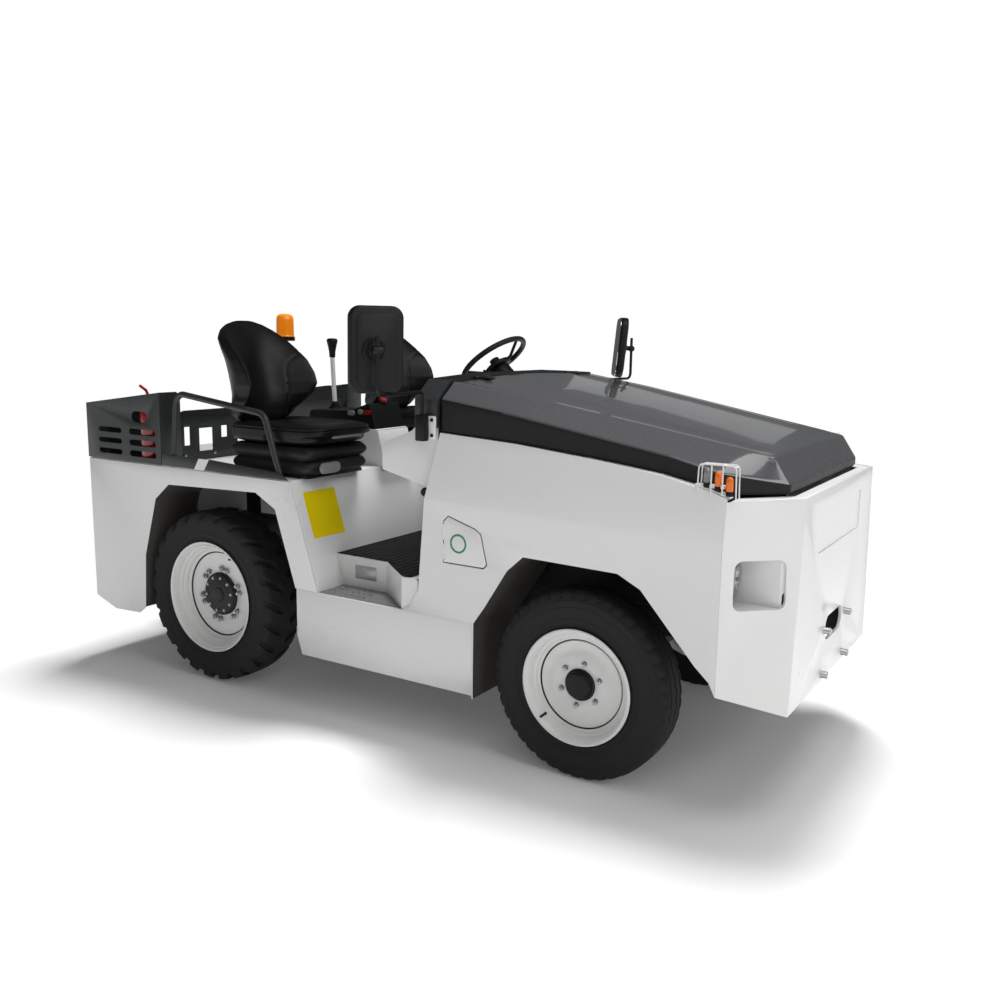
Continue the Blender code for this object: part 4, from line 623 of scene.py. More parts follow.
def skin_of(node: str, width: float = 0.0015, keep: Callable[[Vector], bool] | None = None,
            longest: float = 0.012) -> Item:
    """Merged copy of a frame node whose long sharp edges are rounded.

    Args:
        node: The frame node.
        width: Width of the rounding.
        keep: Test on a point, true where facets and edges stay as they are.
        longest: Edges shorter than this stay sharp, with those that they touch.

    Returns:
        The copy, a loose object.
    """
    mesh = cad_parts[node].data.copy()
    item = bpy.data.objects.new(node + "_skin", mesh)
    bpy.context.scene.collection.objects.link(item)
    pick(item)
    if mesh.has_custom_normals:
        bpy.ops.mesh.customdata_custom_splitnormals_clear()
    edit(item, lambda: bpy.ops.mesh.remove_doubles(threshold=0.00002),
         lambda: bpy.ops.mesh.select_all(action="DESELECT"))
    for face in mesh.polygons:
        face.select = not keep or not any(keep(mesh.vertices[i].co) for i in face.vertices)
    bpy.ops.object.mode_set(mode="EDIT")
    bpy.ops.mesh.select_mode(type="FACE")
    bpy.ops.mesh.dissolve_limited(angle_limit=math.radians(0.6))
    bpy.ops.object.mode_set(mode="OBJECT")
    shortest: dict[int, float] = {}
    faces: dict[tuple[int, int], list[Vector]] = {}
    for face in mesh.polygons:
        for key in face.edge_keys:
            faces.setdefault(key, []).append(face.normal.copy())
    for edge in mesh.edges:
        a, b = edge.vertices
        length = (mesh.vertices[a].co - mesh.vertices[b].co).length
        for vertex in (a, b):
            shortest[vertex] = min(shortest.get(vertex, 1.0), length)
    weights = mesh.attributes.new("bevel_weight_edge", "FLOAT", "EDGE")
    for edge in mesh.edges:
        a, b = edge.vertices
        normals = faces.get(tuple(sorted((a, b))), [])
        if len(normals) != 2 or min(shortest[a], shortest[b]) < width * 2.5:
            continue
        if keep and keep((mesh.vertices[a].co + mesh.vertices[b].co) / 2):
            continue
        length = (mesh.vertices[a].co - mesh.vertices[b].co).length
        if length > longest and normals[0].angle(normals[1], 0) > math.radians(25):
            weights.data[edge.index].value = 1.0
    return modify(item, "BEVEL", width=width, segments=2, limit_method="WEIGHT",
                  use_clamp_overlap=False)


def bolt(centre: Point, axis: Point, size: float, finish: Finish = ZINC_AND_DIMPLE_HIGHLIGHT, height: float = 0.65,
         stud: float = 0.0) -> Item:
    """Hexagon head or nut with its washer, and a stud through it if asked for.

    Args:
        centre: Where it meets the surface.
        axis: The way it stands up.
        size: Thread diameter.
        finish: Its finish.
        height: Height of the head as a share of the thread.
        stud: How far a stud stands past the head, in thread diameters.

    Returns:
        The new object.
    """
    base, way = Vector(centre), Vector(axis).normalized()
    washer = round_bar(base, base + way * size * 0.15, size * 1.05, sides=20)
    head = round_bar(base + way * size * 0.14, base + way * size * (0.15 + height), size * 0.92,
                     sides=6, bevel=size * 0.08)
    pieces = [washer, head]
    if stud:
        pieces.append(round_bar(base, base + way * size * (0.15 + height + stud), size * 0.5,
                                sides=14, bevel=size * 0.06))
    return painted(joined(pieces), finish)


def rounded_rect(centre: Point, right: Point, up: Point, width: float, height: float,
                 radius: float, steps: int = 5) -> list[Vector]:
    """Corner points of a rectangle with round corners, lying on two directions."""
    middle, across, along = Vector(centre), Vector(right).normalized(), Vector(up).normalized()
    outline = []
    for sx, sy, start in ((1, -1, -90), (1, 1, 0), (-1, 1, 90), (-1, -1, 180)):
        for index in range(steps + 1):
            angle = math.radians(start + 90 * index / steps)
            outline.append(middle + across * (sx * (width / 2 - radius) + radius * math.cos(angle))
                           + along * (sy * (height / 2 - radius) + radius * math.sin(angle)))
    return outline


def between(table: Sequence[Sequence[float]], key: float) -> list[float]:
    """Interpolate the rows of a table whose first column rises or falls steadily."""
    rows = table if table[0][0] < table[-1][0] else table[::-1]
    if key <= rows[0][0]:
        return list(rows[0][1:])
    for low, high in zip(rows, rows[1:]):
        if key <= high[0]:
            share = (key - low[0]) / (high[0] - low[0])
            return [a + (b - a) * share for a, b in zip(low[1:], high[1:])]
    return list(rows[-1][1:])


# Top edge of the wings and the nose under the bonnet: y, z
TOP_EDGE = ((-0.452, 1.306), (-0.800, 1.287), (-1.160, 1.252), (-1.400, 1.222), (-1.600, 1.178),
            (-1.650, 1.160), (-1.900, 1.160))
# Sloped front of the seat box: y at the step (z 0.56) and y at the deck (z 1.045)
SEAT_FRONT = (0.178, 0.335)


@dataclass(frozen=True)
class Skin:
    """A frame node that is shown as it is, with soft edges and its own finish."""

    node: str
    finish: Finish
    slot: str
    body: str = "body"
    bevel: float = 0.0015
    second: Finish | None = None
    where: Callable[[Vector, Vector], bool] | None = None
    keep: Callable[[Vector], bool] | None = None

    def build(self) -> Item:
        """Copy, soften, paint and hand in the node."""
        item = painted(skin_of(self.node, self.bevel, self.keep), self.finish)
        if self.second and self.where:
            painted_where(item, self.second, self.where)
        return hand_in(item, self.node + "_look", self.body, (self.node,))


def in_front_arch(centre: Vector, normal: Vector) -> bool:
    """Whether a face belongs to the inside of a front wheel arch."""
    return abs(centre.x) < 0.7415 and -1.63 < centre.y < -0.628 and centre.z < 0.93


def in_rear_arch(centre: Vector, normal: Vector) -> bool:
    """Whether a face belongs to the inside of a rear wheel arch."""
    return abs(centre.x) < 0.7415 and centre.z < 0.985


def on_dash(centre: Vector, normal: Vector) -> bool:
    """Whether a face belongs to the dash pod."""
    return centre.y > -0.4295 and abs(centre.x) < 0.6205


def on_nose_bolt(centre: Vector, normal: Vector) -> bool:
    """Whether a face belongs to a bolt head that stands off the nose."""
    return centre.y < -1.8635


def at_lamp_mouth(middle: Vector) -> bool:
    """Whether an edge lies round the mouth of a headlamp recess."""
    return abs(middle.x) > 0.56 and 0.765 < middle.z < 0.955


def shell_skins() -> list[Skin]:
    """Every node whose own shape is fine enough to be seen."""
    skins = [
        Skin("nose_plate", WHITE, "white_paint", bevel=0.003, second=ZINC_AND_DIMPLE_HIGHLIGHT, where=on_nose_bolt,
             keep=at_lamp_mouth),
        Skin("cab_tub", WHITE, "white_paint"),
        Skin("seat_box", WHITE, "white_paint"),
        Skin("tail_plate", WHITE, "white_paint", bevel=0.002),
        Skin("console_tunnel", WHITE, "white_paint", bevel=0.003),
        Skin("charge_flap", WHITE, "white_paint", "charge_flap", bevel=0.001),
        Skin("scuttle", HAMMERED, "grey_paint", bevel=0.0015, second=PLASTIC, where=on_dash),
        Skin("rear_guard", HAMMERED, "black_paint", bevel=0.0012),
        Skin("chassis_frame", CHASSIS, "black_paint", bevel=0.003),
        Skin("front_axle", CHASSIS, "black_paint", bevel=0.002),
        Skin("rear_axle", CHASSIS, "black_paint", bevel=0.002),
        Skin("tow_hitch", CHASSIS, "black_paint", bevel=0.003),
        Skin("pedal_set", PLASTIC, "black_plastic", bevel=0.0015),
        Skin("console", PLASTIC, "black_plastic", bevel=0.002),
    ]
    for _, word in SIDES:
        skins += [
            Skin("front_fender_" + word, WHITE, "white_paint", second=ARCH_COAT_AND_GROOVE_SHADE, where=in_front_arch),
            Skin("rear_fender_" + word, WHITE, "white_paint", second=ARCH_COAT_AND_GROOVE_SHADE, where=in_rear_arch),
            Skin("deck_trim_" + word, HAMMERED, "grey_paint", bevel=0.001),
            Skin("tail_box_" + word, HAMMERED, "grey_paint", bevel=0.001),
            Skin("steering_knuckle_" + word, STEEL, "bare_steel", "knuckle_" + word),
        ]
    return skins


@dataclass
class Bonnet:
    """Lacquered bonnet with its raised centre panel, hinges and rubber seal."""

    # y, ridge half width, ridge z, crown, edge half width, edge y, edge z
    stations: tuple = (
        (-0.455, 0.615, 1.506, 0.018, 0.700, -0.455, 1.441),
        (-0.780, 0.585, 1.458, 0.022, 0.696, -0.780, 1.397),
        (-1.100, 0.552, 1.402, 0.022, 0.692, -1.100, 1.343),
        (-1.420, 0.525, 1.345, 0.018, 0.684, -1.420, 1.287),
        (-1.640, 0.508, 1.306, 0.013, 0.670, -1.600, 1.240),
        (-1.735, 0.498, 1.287, 0.010, 0.492, -1.796, 1.196),
    )
    cells: int = 80
    fold: float = 0.7
    edge: float = 0.9
    seam: float = 0.008
    panel_half: float = 0.400
    panel_slope: float = 0.016
    panel_step: float = 0.0045

    def across(self, share: float, ridge: float) -> float:
        """Distance from the centre plane at a share of the way to the ridge."""
        table = ((0.0, 0.0), (0.5714, self.panel_half),
                 (0.7143, self.panel_half + self.panel_slope), (1.0, ridge))
        return between(table, share)[0]

    def column(self, u: float, row: Sequence[float]) -> Vector:
        """Point of one cross section, from the centre (0) down to the skirt's end (1)."""
        y, ridge, ridge_z, crown, edge, edge_y, edge_z = row
        s = abs(u)
        sign = -1 if u < 0 else 1
        if s <= self.fold:
            x = self.across(s / self.fold, ridge)
            dip = min(1.0, max(0.0, (x - self.panel_half) / self.panel_slope))
            rise = min(1.0, max(0.0, (ridge - 0.012 - x) / 0.03))
            fade = min(1.0, max(0.0, (y + 1.72) / 0.08))
            z = ridge_z + crown * (1 - (x / ridge) ** 2)
            return Vector((sign * x, y, z - self.panel_step * dip * rise * fade))
        top, low = Vector((sign * ridge, y, ridge_z)), Vector((sign * edge, edge_y, edge_z))
        if s <= self.edge:
            return top.lerp(low, (s - self.fold) / (self.edge - self.fold))
        foot = low.copy()
        foot.z = between(TOP_EDGE, edge_y)[0] + self.seam
        return low.lerp(foot, (s - self.edge) / (1 - self.edge))

    def surface(self, point: Vector) -> Vector:
        """Place a grid point, -1 to 1 both ways, on the bonnet's outer face."""
        u, v = point.x, point.y
        last = self.stations[-1]
        if v <= self.fold + 1e-4:
            share = (v + 1) / (self.fold + 1)
            y = self.stations[0][0] + (last[0] - self.stations[0][0]) * share
            return self.column(u, [y, *between(self.stations, y)])
        sign = -1 if u < 0 else 1
        if abs(u) > self.fold + 1e-4:
            return self.column(sign * max(abs(u), v), last)
        start = self.column(u, last)
        share = abs(u) / self.fold
        x = sign * self.across(share, last[1]) / last[1] * last[4]
        lip = Vector((x, last[5], last[6]))
        if v <= self.edge:
            return start.lerp(lip, (v - self.fold) / (self.edge - self.fold))
        foot = Vector((x, last[5], between(TOP_EDGE, last[5])[0] + self.seam))
        return lip.lerp(foot, (v - self.edge) / (1 - self.edge))

    def build(self) -> None:
        """Model the shell, its hinge leaves and the seal it closes on."""
        deselect()
        bpy.ops.mesh.primitive_grid_add(x_subdivisions=self.cells, y_subdivisions=self.cells,
                                        size=2)
        shell = reshape(bpy.context.object, self.surface)
        clean(shell, 0.0004)
        if sum(face.normal.z * face.area for face in shell.data.polygons) < 0:
            edit(shell, bpy.ops.mesh.flip_normals)
        round_edges(shell, 0.006, 3, 17)
        modify(shell, "SOLIDIFY", thickness=0.005, offset=-1)
        painted(shell, BONNET)
        painted_where(shell, BONNET_BLACK, lambda c, n: abs(n.z) < 0.2)
        hand_in(shell, "bonnet_shell", "bonnet", ("bonnet",), 24)
        for sign in (-1, 1):
            x = sign * 0.400
            leaf = block((x - 0.028, -0.500, 1.5135), (x + 0.028, -0.4475, 1.5175), 0.001)
            barrel = round_bar((x - 0.0297, -0.4475, 1.518), (x + 0.0297, -0.4475, 1.518), 0.0061,
                               bevel=0.0006)
            hinge = painted(joined([leaf, barrel]), CHASSIS)
            hand_in(hinge, "bonnet_hinge_%s" % ("left" if sign > 0 else "right"), "bonnet")
        self.seal()

    def seal(self) -> None:
        """Rubber seal that lies on the wings and the nose below the bonnet."""
        half = [(row[4] - 0.004, row[5]) for row in self.stations[:-1]] + [(0.488, -1.789)]
        path = [(-x, y) for x, y in half] + half[::-1]
        points = []
        for (x0, y0), (x1, y1) in zip(path, path[1:]):
            for index in range(8):
                x, y = x0 + (x1 - x0) * index / 8, y0 + (y1 - y0) * index / 8
                points.append((x, y, between(TOP_EDGE, y)[0] + 0.0042))
        x, y = path[-1]
        points.append((x, y, between(TOP_EDGE, y)[0] + 0.0042))
        strip = painted(tube(points, 0.0038, 2), BELLOWS)
        hand_in(strip, "bonnet_seal", "body", angle=60)


@dataclass
class Wheel:
    """Tyre and pressed wheel of one corner, with nuts, cap and valve."""

    side: int
    word: str
    end: str = "front"
    track: float = 0.627
    axle_y: float = -1.090
    radius: float = 0.375
    half: float = 0.084
    lip: float = 0.230

    @property
    def body(self) -> str:
        """Name of the wheel's body."""
        return "%s_wheel_%s" % (self.end, self.word)

    @property
    def place(self) -> Matrix:
        """Matrix from the wheel's own frame, +Z outwards, to the vehicle."""
        centre = (self.side * self.track, self.axle_y, self.radius)
        return Matrix.Translation(centre) @ facing((self.side, 0, 0))

    def face_ring(self, item: Item, count: int, turn: float = 0.0) -> Item:
        """Spread an item modelled on the wheel's own axis and join the ring."""
        moved(item, Matrix.Rotation(turn, 4, "Z"))
        return joined(ring_of(item, (0, 0, 0), (0, 0, 1), count))

    def hand(self, item: Item, name: str, replaces: Sequence[str] = (),
             angle: float = 32) -> Item:
        """Put a piece on its corner of the vehicle and hand it in."""
        moved(item, self.place)
        return hand_in(item, "%s_%s_%s" % (self.end, name, self.word), self.body, replaces,
                       angle)

    def rib_tyre(self) -> Item:
        """Road tyre: four zigzag ribs, notched shoulders and rings on the sidewall."""
        r = self.radius
        steps, zigzag = 168, 0.0026
        half = [(0.2135, 0.0735), (0.222, 0.0765), (0.236, 0.0775), (0.2385, 0.0800),
                (0.2420, 0.0800), (0.2450, 0.0786), (0.262, 0.0815), (0.2635, 0.0832),
                (0.266, 0.0832), (0.2675, 0.0820), (0.290, 0.0838), (0.312, 0.0838),
                (0.3135, 0.0826), (0.3165, 0.0826), (0.318, 0.0830), (0.338, 0.0795),
                (0.3400, 0.0775), (0.3440, 0.0768), (0.352, 0.0745), (0.362, 0.0705),
                (0.3690, 0.0650), (0.3728, 0.0580), (0.3735, 0.0500)]
        grooves = (0.042, 0.0, -0.042)
        tread = []
        for middle in grooves:
            crown = r - 0.8 * middle ** 2
            tread += [(crown, middle + 0.0050), (r - 0.010, middle + 0.0028),
                      (r - 0.010, middle - 0.0028), (crown, middle - 0.0050)]
        profile = half + tread + [(a, -b) for a, b in reversed(half)]
        tyre = turned(profile, (0, 0, 0), (0, 0, 1), steps)

        def mould(point: Vector) -> Vector:
            """Move a point of the tyre's surface to its place in the tread."""
            radius, angle = math.hypot(point.x, point.y), math.atan2(point.y, point.x)
            index = round(angle / (2 * math.pi) * steps) % steps
            if abs(point.z) < 0.049 and radius > r - 0.012:
                point.z += zigzag * (1 if index % 4 in (0, 1) else -1)
            if abs(point.z) > 0.0565 and radius > 0.3505 and index % 4 == 0:
                scale = (radius - 0.0055) / radius
                point.x, point.y = point.x * scale, point.y * scale
                point.z *= 0.955
            return point

        return reshape(tyre, mould)

    def lug_tyre(self) -> Item:
        """Traction tyre: curved shoulder lugs that alternate across a centre rib."""
        h = self.half
        lugs, per = 24, 6
        steps, depth, sweep = lugs * per, 0.017, 0.55
        half = [(0.2550, 0.0880), (0.2640, 0.0930), (0.2780, 0.0960), (0.2810, 0.0985),
                (0.2850, 0.0985), (0.2880, 0.0975), (0.3080, 0.1035), (0.3095, 0.1055),
                (0.3125, 0.1055), (0.3140, 0.1045), (0.3400, 0.1090), (0.3600, 0.1105),
                (0.3700, 0.1118), (0.3860, 0.1118), (0.4000, 0.1060), (0.4100, 0.0980),
                (0.4140, 0.0860), (0.4165, 0.0700), (0.4185, 0.0500), (0.4195, 0.0330),
                (0.4198, 0.0200)]
        profile = half + [(self.radius, 0.0)] + [(a, -b) for a, b in reversed(half)]
        tyre = turned(profile, (0, 0, 0), (0, 0, 1), steps)
        shares = (0.0, 0.30, 0.62, 0.67, 0.81, 0.95)

        def mould(point: Vector) -> Vector:
            """Move a point of the tyre's surface to its place in the tread."""
            radius, angle = math.hypot(point.x, point.y), math.atan2(point.y, point.x)
            index = round(angle / (2 * math.pi) * steps) % steps
            outward = abs(point.z) / h
            shift = 0 if point.z > 0 else per // 2
            lug, spot = divmod(index + shift, per)
            turn = (lug + shares[spot] - shift / per) / lugs * 2 * math.pi
            if abs(point.z) < 0.012:
                turn = index / steps * 2 * math.pi
            turn += sweep * min(1.0, outward) ** 2 / lugs * 2 * math.pi
            if spot >= 3 and abs(point.z) > 0.026 and radius > 0.380:
                radius -= depth * min(1.0, (radius - 0.375) / 0.025)
                if radius < 0.402:
                    point.z *= 0.975
            return Vector((radius * math.cos(turn), radius * math.sin(turn), point.z))

        reshape(tyre, mould)
        return round_edges(tyre, 0.0016, 1, 38)

    def valve(self, radius: float, height: float, turn: float) -> Item:
        """Rubber valve stem that leans out of the wheel face."""
        spot = Vector((radius, 0, height))
        stem = round_bar(spot, spot + Vector((0.006, 0, 0.022)), 0.0055, 0.0045, 16)
        cap = round_bar(spot + Vector((0.006, 0, 0.022)), spot + Vector((0.008, 0, 0.034)), 0.0048,
                        sides=16, bevel=0.0008)
        return moved(joined([stem, cap]), Matrix.Rotation(turn, 4, "Z"))

    def front_face(self) -> None:
        """Wheel, hub cap, six nuts on studs and the valve of a front corner."""
        face = [(0.0, 0.040), (0.052, 0.040), (0.060, 0.044), (0.110, 0.044), (0.124, 0.038),
                (0.140, 0.0345), (0.160, 0.0345), (0.1665, 0.0375), (0.1705, 0.0385),
                (0.1735, 0.0350), (0.1740, 0.0290), (0.1775, 0.0290), (0.1780, 0.0400),
                (0.1830, 0.0430), (0.1880, 0.0450), (0.1905, 0.0530), (0.1960, 0.0560),
                (0.2010, 0.0580), (0.2035, 0.0700), (0.2075, 0.0800), (0.2130, 0.0880),
                (0.2190, 0.0925), (0.2260, 0.0928), (0.2295, 0.0905), (0.2300, 0.0880),
                (0.2240, 0.0850), (0.2180, 0.0800), (0.2120, 0.0740), (0.2100, 0.0600),
                (0.1890, 0.0300), (0.1890, -0.0300), (0.2120, -0.0740), (0.2280, -0.0880),
                (0.2280, -0.0900), (0.2040, -0.0860), (0.1800, -0.0360), (0.1800, 0.0180),
                (0.0760, 0.0320), (0.0530, -0.0550), (0.0275, -0.0550), (0.0275, 0.0300),
                (0.0, 0.0300)]
        rim = turned(face, (0, 0, 0), (0, 0, 1), 96)
        painted(rim, WHEEL_WHITE)
        # Painted shade: the groove near the rim's edge gets the dark arch coating
        painted_where(rim, ARCH_COAT_AND_GROOVE_SHADE, lambda c, n: 0.1725 < math.hypot(c.x, c.y) < 0.1785
                      and 0.02 < c.z < 0.042)
        self.hand(rim, "wheel", ("front_rim_" + self.word,), 28)
        cap = turned([(0.0, 0.0735), (0.030, 0.0732), (0.046, 0.0715), (0.0525, 0.0660),
                      (0.0540, 0.0560), (0.0560, 0.0520), (0.0625, 0.0500), (0.0640, 0.0440),
                      (0.0, 0.0430)], (0, 0, 0), (0, 0, 1), 64)
        self.hand(painted(cap, PLASTIC), "hub_cap")
        nuts = self.face_ring(bolt((0.086, 0, 0.044), (0, 0, 1), 0.0120, height=0.85, stud=0.5),
                              6, 0.35)
        self.hand(nuts, "wheel_nuts")
        self.hand(painted(self.valve(0.1995, 0.056, 2.35 * self.side), PLASTIC), "valve")

    def rear_face(self) -> None:
        """Wheel with its lock ring, black hub, ten bolts, twelve nuts and the valve."""
        face = [(0.0, 0.020), (0.096, 0.020), (0.130, 0.0195), (0.138, 0.0230), (0.196, 0.0230),
                (0.204, 0.0225), (0.2065, 0.0180), (0.2095, 0.0180), (0.2110, 0.0270),
                (0.2180, 0.0290), (0.2230, 0.0330), (0.2255, 0.0460), (0.2300, 0.0520),
                (0.2350, 0.0545), (0.2375, 0.0640), (0.2420, 0.0700), (0.2470, 0.0720),
                (0.2480, 0.0880), (0.2500, 0.0930), (0.2520, 0.0930), (0.2535, 0.0890),
                (0.2560, 0.0890), (0.2580, 0.0950), (0.2620, 0.1040), (0.2670, 0.1075),
                (0.2705, 0.1070), (0.2718, 0.1045), (0.2700, 0.1020), (0.2640, 0.0960),
                (0.2545, 0.0870), (0.2530, 0.0700), (0.2310, 0.0300), (0.2310, -0.0300),
                (0.2540, -0.0890), (0.2700, -0.1030), (0.2700, -0.1050), (0.2460, -0.1010),
                (0.2220, -0.0360), (0.2220, 0.0060), (0.1350, 0.0200), (0.1000, -0.1150),
                (0.0415, -0.1150), (0.0415, -0.0400), (0.0, -0.0400)]
        rim = turned(face, (0, 0, 0), (0, 0, 1), 112)
        painted(rim, WHEEL_WHITE)
        # Painted shade: the gap between the lock ring and the rim gets the dark arch coating
        painted_where(rim, ARCH_COAT_AND_GROOVE_SHADE, lambda c, n: 0.2045 < math.hypot(c.x, c.y) < 0.2105
                      and 0.012 < c.z < 0.026)
        self.hand(rim, "wheel", ("rear_rim_" + self.word,), 28)
        hub = turned([(0.0, 0.0500), (0.028, 0.0500), (0.034, 0.0480), (0.036, 0.0430),
                      (0.060, 0.0425), (0.066, 0.0400), (0.096, 0.0400), (0.0990, 0.0385),
                      (0.1010, 0.0330), (0.1055, 0.0310), (0.1070, 0.0200), (0.0, 0.0195)],
                     (0, 0, 0), (0, 0, 1), 80)
        self.hand(painted(hub, CHASSIS), "hub")
        bolts = self.face_ring(bolt((0.084, 0, 0.0400), (0, 0, 1), 0.0072, height=0.7), 10, 0.12)
        self.hand(bolts, "hub_bolts")
        pair = [bolt((0.130 * math.cos(a), 0.130 * math.sin(a), 0.0200), (0, 0, 1), 0.0150,
                     height=0.9, stud=0.55) for a in (-0.135, 0.135)]
        self.hand(self.face_ring(joined(pair), 6, 0.30), "wheel_nuts")
        self.hand(painted(self.valve(0.2440, 0.0700, 0.95 if self.side < 0 else 2.19), PLASTIC),
                  "valve")

    def build(self) -> None:
        """Model the corner."""
        tyre = painted(self.rib_tyre() if self.end == "front" else self.lug_tyre(), RUBBER)
        self.hand(tyre, "tyre_look", ("%s_tyre_%s" % (self.end, self.word),), 26)
        self.front_face() if self.end == "front" else self.rear_face()


@dataclass
class Seat:
    """Suspension seat: bellows, padded cushion with seams and a winged back."""

    side: int
    word: str
    x: float = 0.485
    cells: int = 72
    # z, y centre, half width, depth, wing
    back_rows: tuple = (
        (1.270, 0.760, 0.196, 0.106, 0.004), (1.320, 0.778, 0.200, 0.112, 0.046),
        (1.360, 0.790, 0.208, 0.119, 0.104), (1.400, 0.801, 0.216, 0.124, 0.154),
        (1.450, 0.815, 0.2255, 0.128, 0.188), (1.500, 0.827, 0.2250, 0.125, 0.184),
        (1.560, 0.840, 0.2205, 0.118, 0.156), (1.610, 0.850, 0.212, 0.109, 0.108),
        (1.660, 0.860, 0.199, 0.099, 0.062), (1.700, 0.866, 0.170, 0.081, 0.030),
        (1.725, 0.868, 0.140, 0.064, 0.012), (1.744, 0.870, 0.090, 0.040, 0.0),
    )

    @property
    def centre(self) -> float:
        """Signed distance of the seat from the centre plane."""
        return self.side * self.x

    def pillow(self, power: float) -> Item:
        """Cube whose corners are rounded off, divided finely."""
        deselect()
        bpy.ops.mesh.primitive_cube_add(size=2)
        item = bpy.context.object
        edit(item, lambda: bpy.ops.mesh.subdivide(number_cuts=self.cells))

        def soften(point: Vector) -> Vector:
            """Bring a point of the cube in to the rounded pillow."""
            size = max(abs(c) for c in point)
            total = sum(abs(c) ** power for c in point) ** (1 / power)
            return point * (size / total)

        return reshape(item, soften)

    @staticmethod
    def seam(distance: float, width: float = 0.004) -> float:
        """Depth share of a stitched seam at a distance from its line."""
        return math.exp(-(distance / width) ** 2)

    def cushion(self) -> None:
        """Foam cushion: raised side and front rolls, seams along them, front undercut."""
        half_x, half_y, low, high = 0.2175, 0.294, 1.1885, 1.289
        y_mid, under = 0.510, 1.240

        def shape(point: Vector) -> Vector:
            """Place a point of the pillow on the cushion, its rolls and its seams."""
            x, y = point.x * half_x, point.y * half_y
            z = low + (high - low) * (point.z + 1) / 2
            if point.z > 0.2:
                lift = min(1.0, (point.z - 0.2) / 0.6)
                inner = max(0.0, 1 - (x / 0.150) ** 4) * max(0.0, min(1.0, (y + 0.235) / 0.05))
                side = self.seam(abs(x) - 0.150) if y > -0.222 else 0.0
                front = self.seam(y + 0.222) if abs(x) < 0.150 else 0.0
                z -= lift * (0.014 * inner + 0.0055 * max(side, front))
                z += 0.0015 * math.sin(y * 26 + 1) * math.sin(x * 21) * lift
            if point.y < 0:
                y += 0.034 * min(1.0, max(0.0, (under - z) / 0.014))
            crease = self.seam(z - 1.262, 0.003) * 0.004
            scale = 1 - crease / half_x
            return Vector((self.centre + x * scale, y_mid + y * scale, z))

        pad = reshape(self.pillow(5.0), shape)
        hand_in(painted(pad, VINYL), "seat_cushion_look_" + self.word, "body",
                ("seat_cushion_" + self.word,), 60)

    def back_point(self, x: float, y: float, share: float) -> Vector:
        """Point of the back from shares of its width, depth and height."""
        low, high = self.back_rows[0][0], self.back_rows[-1][0]
        z = low + (high - low) * share
        y_mid, half, depth, wing = between(self.back_rows, z)
        forward = wing * (0.5 - y * 0.5 + 0.8 * (0.5 + y * 0.5)) * x * x
        return Vector((self.centre + half * x, y_mid + depth / 2 * y - forward, z))

    def back(self) -> None:
        """Foam back with side wings and a curved seam along each of them."""

        def shape(point: Vector) -> Vector:
            """Place a point of the pillow on the back, its wings and its seams."""
            share = (point.z + 1) / 2
            place = self.back_point(point.x, point.y, share)
            if point.y < -0.2:
                lift = min(1.0, (-0.2 - point.y) / 0.5)
                across = abs(place.x - self.centre)
                edge = 0.112 + 0.020 * share + 2.25 * max(0.0, share - 0.5) ** 2
                place.y += lift * 0.007 * self.seam(across - edge)
                if across < edge:
                    place.y += lift * 0.010 * (1 - (across / edge) ** 2)
                place.y += 0.0015 * math.sin(place.z * 31) * math.sin(across * 24) * lift
            return place

        pad = reshape(self.pillow(4.5), shape)
        hand_in(painted(pad, VINYL), "seat_back_look_" + self.word, "body",
                ("seat_back_" + self.word,), 60)

    def base(self) -> None:
        """Bellows over the suspension, its plinth, top pan, front bar and weight knob."""
        rings = []
        for index in range(21):
            share = index / 20
            lobe = abs(math.sin(2 * math.pi * share)) ** 0.8
            ring = chain(rounded_rect((self.centre, 0.520, 1.0622 + 0.1235 * share), (1, 0, 0),
                                      (0, 1, 0), 0.376 + 0.014 * share + 0.034 * lobe,
                                      0.450 + 0.014 * share + 0.052 * lobe, 0.045, 5))
            edit(ring, bpy.ops.mesh.edge_face_add, lambda: bpy.ops.mesh.delete(type="ONLY_FACE"))
            rings.append(ring)
        bellows = joined(rings)
        edit(bellows, bpy.ops.mesh.bridge_edge_loops)
        clean(bellows)
        modify(bellows, "SOLIDIFY", thickness=0.002, offset=-1)
        painted(bellows, BELLOWS)
        hand_in(bellows, "seat_bellows_" + self.word, "body",
                ("seat_base_" + self.word,), 40)
        c = self.centre
        plinth = block((c - 0.188, 0.298, 1.0455), (c + 0.188, 0.742, 1.0625), 0.004)
        pan = block((c - 0.180, 0.305, 1.1700), (c + 0.180, 0.735, 1.1880), 0.004)
        hand_in(painted(joined([plinth, pan]), PLASTIC), "seat_pans_" + self.word, "body")
        bar = block((c - 0.085, 0.224, 1.224), (c + 0.098, 0.247, 1.241), 0.004)
        knob = sheet_metal(rounded_rect((c - 0.092, 0.258, 1.094), (1, 0, 0), (0, 0, 1), 0.128,
                                        0.050, 0.0245, 8), (0, -0.018, 0), 0.006)
        hand_in(painted(joined([bar, knob]), GREY_PLASTIC), "seat_adjusters_" + self.word, "body")

    def build(self) -> None:
        """Model the seat."""
        self.base()
        self.cushion()
        self.back()


